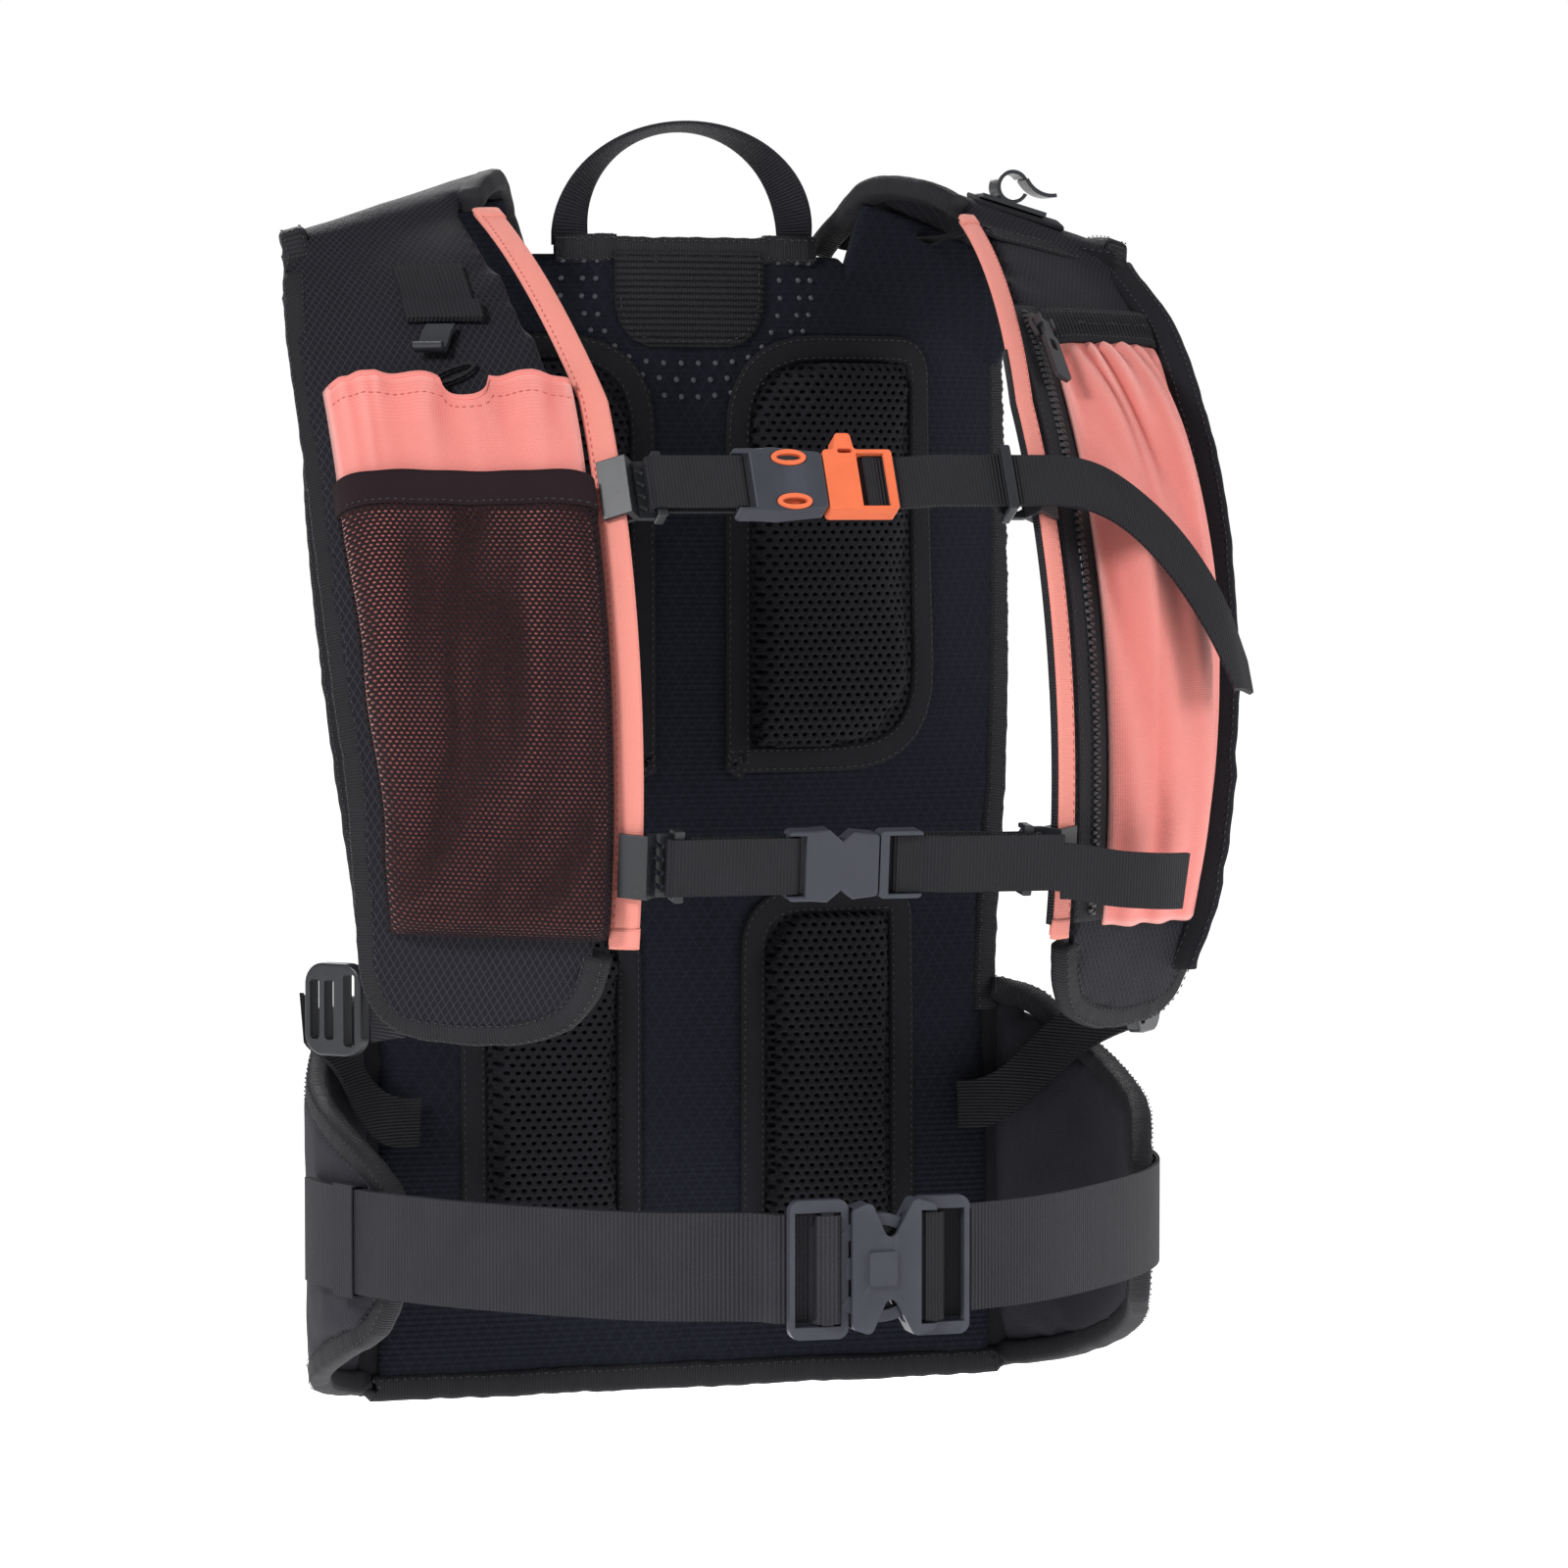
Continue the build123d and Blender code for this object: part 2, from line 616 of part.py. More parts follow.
def female_buckle(z, joint_x, notched):
    """Socket half of a side-release buckle with its webbing bar; joint_x is its open end."""
    start = joint_x - FEMALE_LENGTH
    with BuildPart() as female:
        with BuildSketch(chest_face(z, SHELL_BACK)):
            with BuildLine():
                FilletPolyline(
                    (start, -12.5), (start + 8, -12.5), (start + 15, -13.0), (joint_x, -11.0), (joint_x, 11.0),
                    (start + 15, 13.0), (start + 8, 12.5), (start, 12.5), radius=1.8, close=True,
                )
            make_face()
            with Locations((start + 4.25, 0)):
                Rectangle(3.9, 21.4, mode=Mode.SUBTRACT)
            if notched:
                for side in (-1, 1):
                    with BuildLine():
                        Polyline(
                            (joint_x - 20, side * 14), (joint_x - 13.5, side * 8.6), (joint_x - 7, side * 14),
                            close=True,
                        )
                    make_face(mode=Mode.SUBTRACT)
            else:
                with Locations((joint_x - 12.5, -8.7), (joint_x - 12.5, 8.7)):
                    Ellipse(6.6, 3.3, mode=Mode.SUBTRACT)
        extrude(amount=SHELL_FRONT - SHELL_BACK)
        with BuildSketch(chest_face(z, 2.5)):
            with Locations((joint_x - SOCKET_DEPTH / 2 + 0.5, 0)):
                Rectangle(SOCKET_DEPTH + 1, 18.4)
        extrude(amount=5.0, mode=Mode.SUBTRACT)
        with BuildSketch(chest_face(z, SHELL_BACK - 0.2)):
            with Locations((start - 0.2, 0)):
                Rectangle(5.2, 21.4)
        extrude(amount=SHELL_FRONT, mode=Mode.SUBTRACT)
        with BuildSketch(chest_face(z, 4.0)):
            with Locations((start + 1.2, 0)):
                Rectangle(2.4, 22.4)
        extrude(amount=2.2)
        front_face = female.faces().sort_by(Axis((0, 0, 0), chest_face(z, 0).z_dir))[-1]
        fillet(front_face.outer_wire().edges(), 0.7)
    return female


def prongs(z, joint_x):
    """Add the guide and two side prongs that go into the socket half."""
    with BuildSketch(chest_face(z, 2.9)) as fingers:
        with Locations((joint_x - 7.0, 0)):
            Rectangle(16, 3.6)
        for side in (-1, 1):
            with BuildLine():
                Polyline(
                    (joint_x + 1, side * 5.2), (joint_x - 9, side * 5.2), (joint_x - 17, side * 6.4),
                    (joint_x - 17, side * 7.8), (joint_x - 12, side * 8.8), (joint_x - 7, side * 7.6),
                    (joint_x + 1, side * 8.0), close=True,
                )
            make_face()
    extrude(to_extrude=fingers.sketch, amount=4.2)


UPPER_JOINT_X = -4.0
LOWER_JOINT_X = 8.0
LEFT_LOOP_X = -65.8    # webbing loop's centre at the left clips' bars

LOOP_BAR_LIFT = 4.0    # bar inside a sewn webbing loop
SLIDE_BAR_LIFT = 9.2   # bar in front of the webbing that slides through

for level, z, right_lift in (("upper", UPPER_Z, SLIDE_BAR_LIFT), ("lower", LOWER_Z, LOOP_BAR_LIFT)):
    save(rail_clip(z, right_lift), f"{level}_clip_right")
    save(mirrored(rail_clip(z, LOOP_BAR_LIFT)), f"{level}_clip_left")

upper_webbing_left = racetrack(UPPER_Z, LEFT_LOOP_X, UPPER_JOINT_X - FEMALE_LENGTH + 2.0)
save(upper_webbing_left, "upper_webbing_left")
lower_webbing_left = racetrack(LOWER_Z, LEFT_LOOP_X, LOWER_JOINT_X - FEMALE_LENGTH + 2.0)
save(lower_webbing_left, "lower_webbing_left")

upper_buckle_female = female_buckle(UPPER_Z, UPPER_JOINT_X, notched=False)
save(upper_buckle_female, "upper_buckle_female")
lower_buckle_female = female_buckle(LOWER_Z, LOWER_JOINT_X, notched=True)
save(lower_buckle_female, "lower_buckle_female")

with BuildPart() as buckle_rings:
    with BuildSketch(chest_face(UPPER_Z, SHELL_FRONT - 1.3)):
        with Locations((UPPER_JOINT_X - 12.5, -8.7), (UPPER_JOINT_X - 12.5, 8.7)):
            Ellipse(6.4, 3.1)
            Ellipse(4.6, 1.4, mode=Mode.SUBTRACT)
    extrude(amount=1.8)
save(buckle_rings, "buckle_rings")

WHISTLE_BAR = 13.6     # middle of the whistle half's webbing bar
with BuildPart() as whistle_buckle:
    with BuildSketch(chest_face(UPPER_Z, SHELL_BACK)):
        with BuildLine():
            FilletPolyline(
                (UPPER_JOINT_X + 0.4, -12), (22, -12), (22, 12), (8.2, 12), (7.4, 18.5), (2.0, 18.5), (0.6, 12),
                (UPPER_JOINT_X + 0.4, 12), radius=1.4, close=True,
            )
        make_face()
        with Locations((13.75, 0)):
            Rectangle(10.1, 20.9, mode=Mode.SUBTRACT)
    extrude(amount=SHELL_FRONT - SHELL_BACK)
    with BuildSketch(chest_face(UPPER_Z, SHELL_BACK - 0.2)):
        with Locations((20.8, 0)):
            Rectangle(4.6, 20.9)
    extrude(amount=7.0, mode=Mode.SUBTRACT)
    with BuildSketch(chest_face(UPPER_Z, 3.2)):
        with Locations((WHISTLE_BAR, 0)):
            Rectangle(2.4, 22)
    extrude(amount=2.2)
    with BuildSketch(chest_face(UPPER_Z, 6.4)):
        with Locations((4.7, 11.5)):
            SlotOverall(5.4, 1.8)
    extrude(amount=4, mode=Mode.SUBTRACT)
    with BuildSketch(chest_face(UPPER_Z, 3.4)):
        with Locations((4.7, 13.5)):
            Rectangle(3.0, 10.2)
    extrude(amount=3.2, mode=Mode.SUBTRACT)
    prongs(UPPER_Z, UPPER_JOINT_X + 0.4)
save(whistle_buckle, "whistle_buckle")


def webbing_run(z, points):
    """Add webbing whose edge-on line is drawn in the plane across the chest."""
    with BuildSketch(chest_section(z)) as run:
        with BuildLine() as line:
            Polyline(*points)
        trace(line.line, line_width=WEB)
    extrude(to_extrude=run.sketch, amount=CHEST_WEB / 2, both=True)


def draped_tail(z, plan, face, face_width):
    """Free end of webbing: a curved upright sheet cut to a curved strip seen from the front."""
    with BuildPart() as tail:
        with BuildSketch(chest_section(z)) as sheet:
            with BuildLine() as line:
                Spline(*plan, tangents=[(1, 0), (plan[-1][0] - plan[-2][0], plan[-1][1] - plan[-2][1])])
            trace(line.line, line_width=WEB)
        extrude(to_extrude=sheet.sketch, amount=100, both=True)
        with BuildSketch(chest_face(z, -80)) as strip:
            with BuildLine() as centre:
                Spline(*face, tangents=[(1, 0), (face[-1][0] - face[-2][0], face[-1][1] - face[-2][1])])
            trace(centre.line, line_width=face_width)
        extrude(to_extrude=strip.sketch, amount=160, mode=Mode.INTERSECT)
    return tail


SLIDE_RUN = 8.0        # webbing that slides through the upper right clip
upper_tail = draped_tail(
    UPPER_Z,
    [(79.5, SLIDE_RUN), (98, 7.5), (118, 0), (136, -9), (150, -19), (160, -32)],
    [(79.5, 0), (98, -3), (118, -13), (136, -31), (150, -54), (156, -68)],
    CHEST_WEB,
)
with BuildPart() as whistle_webbing:
    webbing_run(UPPER_Z, [
        (25, 2.1), (WHISTLE_BAR - 1.6, 2.1), (WHISTLE_BAR - 2.9, 3.3), (WHISTLE_BAR - 2.9, 5.3),
        (WHISTLE_BAR - 1.6, 6.4), (WHISTLE_BAR + 2.6, 6.4), (24, 5.9), (38, SLIDE_RUN), (80, SLIDE_RUN),
    ])
    add(upper_tail.part)
save(whistle_webbing, "whistle_webbing")

LADDER_BAR = 16.4
with BuildPart() as ladder_buckle:
    with BuildSketch(chest_face(LOWER_Z, SHELL_BACK)):
        with Locations((16.2, 0)):
            RectangleRounded(15.6, 24, 1.6)
        with Locations((16.6, 0)):
            Rectangle(10.0, 20.9, mode=Mode.SUBTRACT)
    extrude(amount=SHELL_FRONT - SHELL_BACK)
    with BuildSketch(chest_face(LOWER_Z, SHELL_BACK - 0.2)):
        with Locations((24, 0)):
            Rectangle(6, 20.9)
    extrude(amount=9, mode=Mode.SUBTRACT)
    with BuildSketch(chest_face(LOWER_Z, 3.2)):
        with Locations((LADDER_BAR, 0), (22.6, 0)):
            Rectangle(2.3, 22)
    extrude(amount=2.2)
    prongs(LOWER_Z, LOWER_JOINT_X + 0.4)
save(ladder_buckle, "ladder_buckle")

with BuildPart() as lower_webbing_right:
    webbing_run(LOWER_Z, [
        (14, 0.0), (43, 0.0), (52, LOOP_BACK), (66.2, LOOP_BACK), (68.0, 3.9), (68.6, LOOP_MID), (68.0, 6.3),
        (66.2, LOOP_FRONT), (50, LOOP_FRONT - 1.2),
    ])
save(lower_webbing_right, "lower_webbing_right")

lower_drape = draped_tail(
    LOWER_Z,
    [(75.5, 10.4), (92, 10.0), (108, 6.0), (122, -2.0), (131, -9.5)],
    [(75.5, -3.2), (92, -5.6), (108, -8.0), (122, -10.0), (130, -11.2)],
    CHEST_WEB,
)
with BuildPart() as lower_tail:
    with BuildSketch(chest_section(LOWER_Z)) as wrap:
        with BuildLine() as wrap_line:
            Polyline(
                (20.4, 2.1), (LADDER_BAR - 1.2, 2.1), (LADDER_BAR - 2.6, 3.3), (LADDER_BAR - 2.6, 5.3),
                (LADDER_BAR - 1.2, 6.5), (24, 6.8), (34, 9.6), (76, 10.4),
            )
        trace(wrap_line.line, line_width=WEB)
    extrude(to_extrude=wrap.sketch, amount=CHEST_WEB / 2, both=True)
    add(lower_drape.part)
save(lower_tail, "lower_tail")


# ---------------------------------------------------------------- right strap: zip pocket and its zipper
ZIP_U = 24.0           # zipper chain's distance from the rail
ZIP_END_TOP = 50.0     # degrees up the arc
ZIP_END_LOW = -13.0
SLIDER_ANGLE = 46.0
TAPE_IN = RAIL_WIDTH + 1.2
TAPE_OUT = 33.0

with BuildPart() as zipper_tape:
    strap_band(TAPE_IN, TAPE_OUT, 0.3, 1.1, ZIP_END_LOW, ZIP_END_TOP)
    keep_front_outline([(87.2, 180), (110, 180), (110, 420), (95.2, 420), (87.2, 372)])
save(zipper_tape, "zipper_tape")

with BuildPart() as zipper_chain:
    strap_band(ZIP_U - 2.4, ZIP_U + 2.4, 1.2, 3.4, ZIP_END_LOW + 1, ZIP_END_TOP - 1)
save(zipper_chain, "zipper_chain")


def strap_plane(u, angle, lift):
    """Plane lying on the right strap: y runs up the arc, x square to it."""
    normal = strap_normal(angle)
    rise = Vector(0, sin(radians(angle)), cos(radians(angle)))
    return Plane(origin=strap_point(u, angle) + normal * lift, x_dir=rise.cross(normal), z_dir=normal)


with BuildPart() as zipper_slider:
    with BuildSketch(strap_plane(ZIP_U, SLIDER_ANGLE, 3.6)):
        with BuildLine():
            FilletPolyline(
                (-3.2, -5.5), (3.2, -5.5), (5.0, 1), (3.6, 6.0), (-3.6, 6.0), (-5.0, 1), radius=1.2, close=True,
            )
        make_face()
    extrude(amount=1.8)
    with BuildSketch(strap_plane(ZIP_U, SLIDER_ANGLE, 5.3)):
        with Locations((-3.2, 0.5), (3.2, 0.5)):
            Rectangle(1.3, 4.6)
    extrude(amount=3.3)
save(zipper_slider, "zipper_slider")

PULL_LIFT = 7.0
with BuildPart() as zipper_pull:
    with BuildSketch(strap_plane(ZIP_U, SLIDER_ANGLE, PULL_LIFT - 0.9)):
        with Locations((0, -3.2)):
            Rectangle(4.2, 8.6)
        with Locations((0, -18)):
            RectangleRounded(7.4, 24, 2.6)
        with Locations((0, -12)):
            RectangleRounded(3.2, 6, 1.2, mode=Mode.SUBTRACT)
    extrude(amount=1.8)
save(zipper_pull, "zipper_pull")

with BuildPart() as pocket_elastic:
    strap_band(TAPE_OUT + 0.6, 112, 0.3, 4.0, 47.2, 52.5)
save(pocket_elastic, "pocket_elastic")

with BuildPart() as zip_pocket:
    crescents = []
    for u, low_bulge, bulge, top_bulge in (
        (TAPE_OUT + 0.6, 2.4, 9, 5), (58, 5, 22, 9), (90, 6, 28, 10), (116, 3, 17, 5),
    ):
        with BuildSketch(arc_plane(u)) as crescent:
            with BuildLine():
                floor = CenterArc((0, 0), ARC_R + 0.3, -13.5, 60)
                low = ARC_R + low_bulge
                mid = ARC_R + bulge
                top = ARC_R + top_bulge
                face = ThreePointArc(
                    (low * cos(radians(-13.5)), low * sin(radians(-13.5))),
                    (mid * cos(radians(14)), mid * sin(radians(14))),
                    (top * cos(radians(46.5)), top * sin(radians(46.5))),
                )
                Line(floor @ 0, face @ 0)
                Line(floor @ 1, face @ 1)
            make_face()
        crescents.append(crescent.sketch)
    loft(sections=crescents)
save(zip_pocket, "zip_pocket")

# ---------------------------------------------------------------- left strap: flask pocket, mesh pocket, tether
POUCH_IN = RAIL_WIDTH + 1.4
POUCH_OUT = 114.0
POUCH_LOW = -13.5
FLASK_TOP = arc_angle(379)
MESH_TOP = arc_angle(344)
FLASK_FACE = 12.5
MESH_FACE = 18.5
POUCH_OUTLINE = [(80, 170), (149, 170), (153, 220), (159, 280), (163, 340), (163, 400), (80, 400)]
POUCH_HOLLOW = [(80, 180), (145, 180), (151, 220), (157, 280), (161, 340), (161, 410), (80, 410)]

with BuildPart() as flask_hollow:
    strap_band(POUCH_IN + 2, POUCH_OUT, 0, FLASK_FACE - 1.3, POUCH_LOW + 1, FLASK_TOP + 2)
    keep_front_outline(POUCH_HOLLOW)
with BuildPart() as flask_shape:
    strap_band(POUCH_IN, POUCH_OUT, 0.3, FLASK_FACE, POUCH_LOW, FLASK_TOP)
    keep_front_outline(POUCH_OUTLINE)
    add(flask_hollow.part, mode=Mode.SUBTRACT)
save(mirrored(flask_shape), "flask_pocket")

with BuildPart() as mesh_hollow:
    strap_band(POUCH_IN + 1.5, POUCH_OUT, FLASK_FACE, MESH_FACE - 1.0, POUCH_LOW + 1, MESH_TOP + 2)
    keep_front_outline(POUCH_HOLLOW)
with BuildPart() as mesh_shape:
    strap_band(POUCH_IN, POUCH_OUT, FLASK_FACE + 0.3, MESH_FACE, POUCH_LOW, MESH_TOP)
    keep_front_outline(POUCH_OUTLINE)
    add(mesh_hollow.part, mode=Mode.SUBTRACT)
save(mirrored(mesh_shape), "mesh_pocket")

with BuildPart() as hook_tab_shape:
    strap_band(42, 70, 0.3, 2.0, arc_angle(409), arc_angle(425))
    strap_band(40.5, 71.5, 2.3, 4.6, arc_angle(403.5), arc_angle(410))
save(mirrored(hook_tab_shape), "hook_tab")

HOOK_U = 56.0
HOOK_ANGLE = arc_angle(401.5)
hook_plane = Plane(origin=strap_point(HOOK_U, HOOK_ANGLE) + strap_normal(HOOK_ANGLE) * 3.4,
                   x_dir=strap_normal(HOOK_ANGLE), z_dir=ACROSS)
with BuildPart() as tether_hook_shape:
    with BuildSketch(hook_plane) as hook_section:
        with BuildLine() as hook_line:
            hook_top = Polyline((0, 0), (1.0, 4.5), (0.4, 10.5))
            TangentArc((0.4, 10.5), (4.6, 11.5), tangent=hook_top % 1)
        trace(hook_line.line, line_width=1.8)
    extrude(to_extrude=hook_section.sketch, amount=5.8, both=True)
save(mirrored(tether_hook_shape), "tether_hook")

with BuildPart() as ring_shape:
    with BuildSketch(strap_plane(HOOK_U, arc_angle(384.5), 2.0)):
        Ellipse(9.2, 3.4)
        Ellipse(7.6, 1.9, mode=Mode.SUBTRACT)
    extrude(amount=1.2)
save(mirrored(ring_shape), "elastic_ring")

# ---------------------------------------------------------------- hose clip on the right shoulder
HOSE_R = 5.0
HOSE_CLIP_WIDTH = 10.0
CLIP_SLOPE = 16.0
hose_plane = Plane(
    origin=(123, -25 + HOSE_CLIP_WIDTH / 2, 453.4),
    x_dir=(cos(radians(CLIP_SLOPE)), 0, -sin(radians(CLIP_SLOPE))),
    z_dir=(0, -1, 0),
)
with BuildPart() as hose_clip:
    with BuildSketch(hose_plane) as clip_section:
        with BuildLine() as base_line:
            Line((-15, 0), (12, 0))
        trace(base_line.line, line_width=1.8)
        with Locations((-4, HOSE_R + 1.6)):
            Circle(HOSE_R + 1.5)
            Circle(HOSE_R, mode=Mode.SUBTRACT)
        with Locations((6.0, HOSE_R + 3.2)):
            Rectangle(14, 2 * HOSE_R - 4.4, mode=Mode.SUBTRACT)
        with BuildLine() as flick:
            ThreePointArc((0.6, 11.1), (7.0, 7.6), (14, 8.6))
        trace(flick.line, line_width=1.5)
    extrude(to_extrude=clip_section.sketch, amount=HOSE_CLIP_WIDTH)
save(hose_clip, "hose_clip")

# ---------------------------------------------------------------- strap adjusters
LOCK_X, LOCK_Y, LOCK_Z = 157.0, -79.0, 155.0
LOCK_FACING = 50.0     # degrees the lock's face is turned outward from straight ahead
LOCK_INWARD = Vector(-cos(radians(LOCK_FACING)), -sin(radians(LOCK_FACING)), 0)
LOCK_OUT = Vector(sin(radians(LOCK_FACING)), -cos(radians(LOCK_FACING)), 0)
lock_plane = Plane(origin=(LOCK_X, LOCK_Y, LOCK_Z), x_dir=LOCK_INWARD, z_dir=LOCK_OUT)
with BuildPart() as ladder_lock_right:
    with BuildSketch(lock_plane):
        RectangleRounded(26, 34, 8)
        with Locations((7.5, 0)):
            RectangleRounded(5.0, 26.4, 1.2, mode=Mode.SUBTRACT)
        with Locations((-1.6, 0), (-8.2, 0)):
            RectangleRounded(4.2, 22, 1.2, mode=Mode.SUBTRACT)
    extrude(amount=2.6, both=True)
    lock_face = ladder_lock_right.faces().sort_by(Axis((0, 0, 0), LOCK_OUT))[-1]
    fillet(lock_face.outer_wire().edges(), 1.0)
save(ladder_lock_right, "ladder_lock_right")
save(mirrored(ladder_lock_right), "ladder_lock_left")

with BuildPart() as tab_right:
    ribbon(
        [
            ((146.8, -91.4, 155.8), (-0.5, -1, 0.12), (0, 0.12, 1)),
            ((142.6, -103, 158.0), (-0.25, -1, 0.12), (0, 0.12, 1)),
            ((139.0, -121, 160), (-0.3, -1, 0.12), (0, 0.12, 1)),
        ],
        24.0, WEB,
    )
tab_left = mirrored(tab_right)
with BuildPart() as strap_tabs:
    add(tab_right.part)
    add(tab_left.part)
save(strap_tabs, "strap_tabs")

with BuildPart() as adjuster_right:
    ribbon(
        [
            ((166.4, -65.2, 151.0), (0.1, 1, -0.4), (0, 0.4, 1)),
            ((157.5, -50, 144), (-0.5, 1, -0.6), (-0.1, 0.6, 1)),
            ((138.5, -22, 124.5), (-0.8, 1, -0.7), (-0.2, 0.5, 1)),
            ((124.0, -6.5, 107), (-1, 0.35, -0.2), (0, 0.1, 1)),
            ((108.0, -3.0, 104), (-1, 0.1, -0.05), (0, 0, 1)),
        ],
        19.0, WEB,
    )
adjuster_left = mirrored(adjuster_right)
with BuildPart() as adjuster_webbings:
    add(adjuster_right.part)
    add(adjuster_left.part)
save(adjuster_webbings, "adjuster_webbings")
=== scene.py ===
import json
from math import asin, copysign, cos, degrees, pi, radians, sin, sqrt

import bmesh
import bpy
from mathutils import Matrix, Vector, noise
from mathutils.bvhtree import BVHTree


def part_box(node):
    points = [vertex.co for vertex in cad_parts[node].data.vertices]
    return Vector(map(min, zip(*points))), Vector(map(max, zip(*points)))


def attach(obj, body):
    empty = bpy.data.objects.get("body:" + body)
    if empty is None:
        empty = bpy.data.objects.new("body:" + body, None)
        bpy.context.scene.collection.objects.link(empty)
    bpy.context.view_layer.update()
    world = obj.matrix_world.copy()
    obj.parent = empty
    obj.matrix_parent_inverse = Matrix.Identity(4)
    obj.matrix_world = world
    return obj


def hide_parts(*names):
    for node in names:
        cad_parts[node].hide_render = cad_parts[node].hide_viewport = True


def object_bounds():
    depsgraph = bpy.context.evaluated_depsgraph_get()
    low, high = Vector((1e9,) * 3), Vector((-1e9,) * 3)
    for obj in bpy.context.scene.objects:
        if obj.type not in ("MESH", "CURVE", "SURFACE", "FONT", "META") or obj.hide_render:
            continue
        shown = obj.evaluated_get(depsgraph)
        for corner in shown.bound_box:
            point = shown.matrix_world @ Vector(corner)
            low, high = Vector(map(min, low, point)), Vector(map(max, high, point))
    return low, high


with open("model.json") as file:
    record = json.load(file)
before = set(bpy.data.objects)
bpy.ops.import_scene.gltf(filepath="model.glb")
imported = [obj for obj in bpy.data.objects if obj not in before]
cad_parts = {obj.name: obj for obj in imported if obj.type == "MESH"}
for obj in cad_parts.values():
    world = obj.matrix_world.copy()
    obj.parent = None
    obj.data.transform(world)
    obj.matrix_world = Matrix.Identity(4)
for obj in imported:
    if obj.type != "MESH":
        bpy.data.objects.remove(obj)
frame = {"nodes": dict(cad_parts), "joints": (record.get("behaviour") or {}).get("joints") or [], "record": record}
cad_low, cad_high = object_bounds()

# Looks of a hydration vest pack, in metres: +Z up, +X the wearer's left, -Y the chest side.
# In names, left is -X and right is +X, as in the picture.
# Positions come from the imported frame. Sizes below are millimetres until they are multiplied by MM.
MM = 0.001
SCENE = bpy.context.scene
JOINTS = {joint["name"]: joint for joint in frame["joints"]}

# ---------------------------------------------------------------- the straps' shared arc
ARC = Vector(JOINTS["upper_strap_height"]["pos_m"]) / MM    # centre of the arc over the chest
ARC_R = 224.0          # radius of the strap's front
RAIL_X = 78.0          # inner edge of the strap, from the centre line
TURN = radians(40.0)   # how far the strap's face turns outward
RAIL_START, RAIL_END = -14.0, 67.0
ZIP_U = 24.0           # zipper's distance from the rail
FLASK_TOP_Z, MESH_TOP_Z, POUCH_LOW = 379.0, 344.0, -13.5
POUCH_IN = 12.4
HOOK_U = 56.0


def arc_angle(z):
    """Angle up the strap's arc, in degrees, at height z in millimetres."""
    return degrees(asin((z - ARC.z) / ARC_R))


def on_strap(u, angle, lift=0.0, side=1):
    """Point in metres: u mm outward from the rail, an angle up the arc, lift mm in front of the face."""
    reach = ARC_R + lift
    t = radians(angle)
    x = RAIL_X + u * cos(TURN)
    return Vector((side * x, ARC.y - reach * cos(t) + u * sin(TURN), ARC.z + reach * sin(t))) * MM


def between(table, at):
    """Value at a position, from a short list of (position, value) pairs."""
    if at <= table[0][0]:
        return table[0][1]
    for (a, low), (b, high) in zip(table, table[1:]):
        if at <= b:
            share = (at - a) / (b - a)
            share = share * share * (3 - 2 * share)
            return low + (high - low) * share
    return table[-1][1]


def wobble(*at):
    """Smooth noise from -1 to 1, the same every run."""
    return noise.noise(Vector((*at, 0.0, 0.0)[:3]))


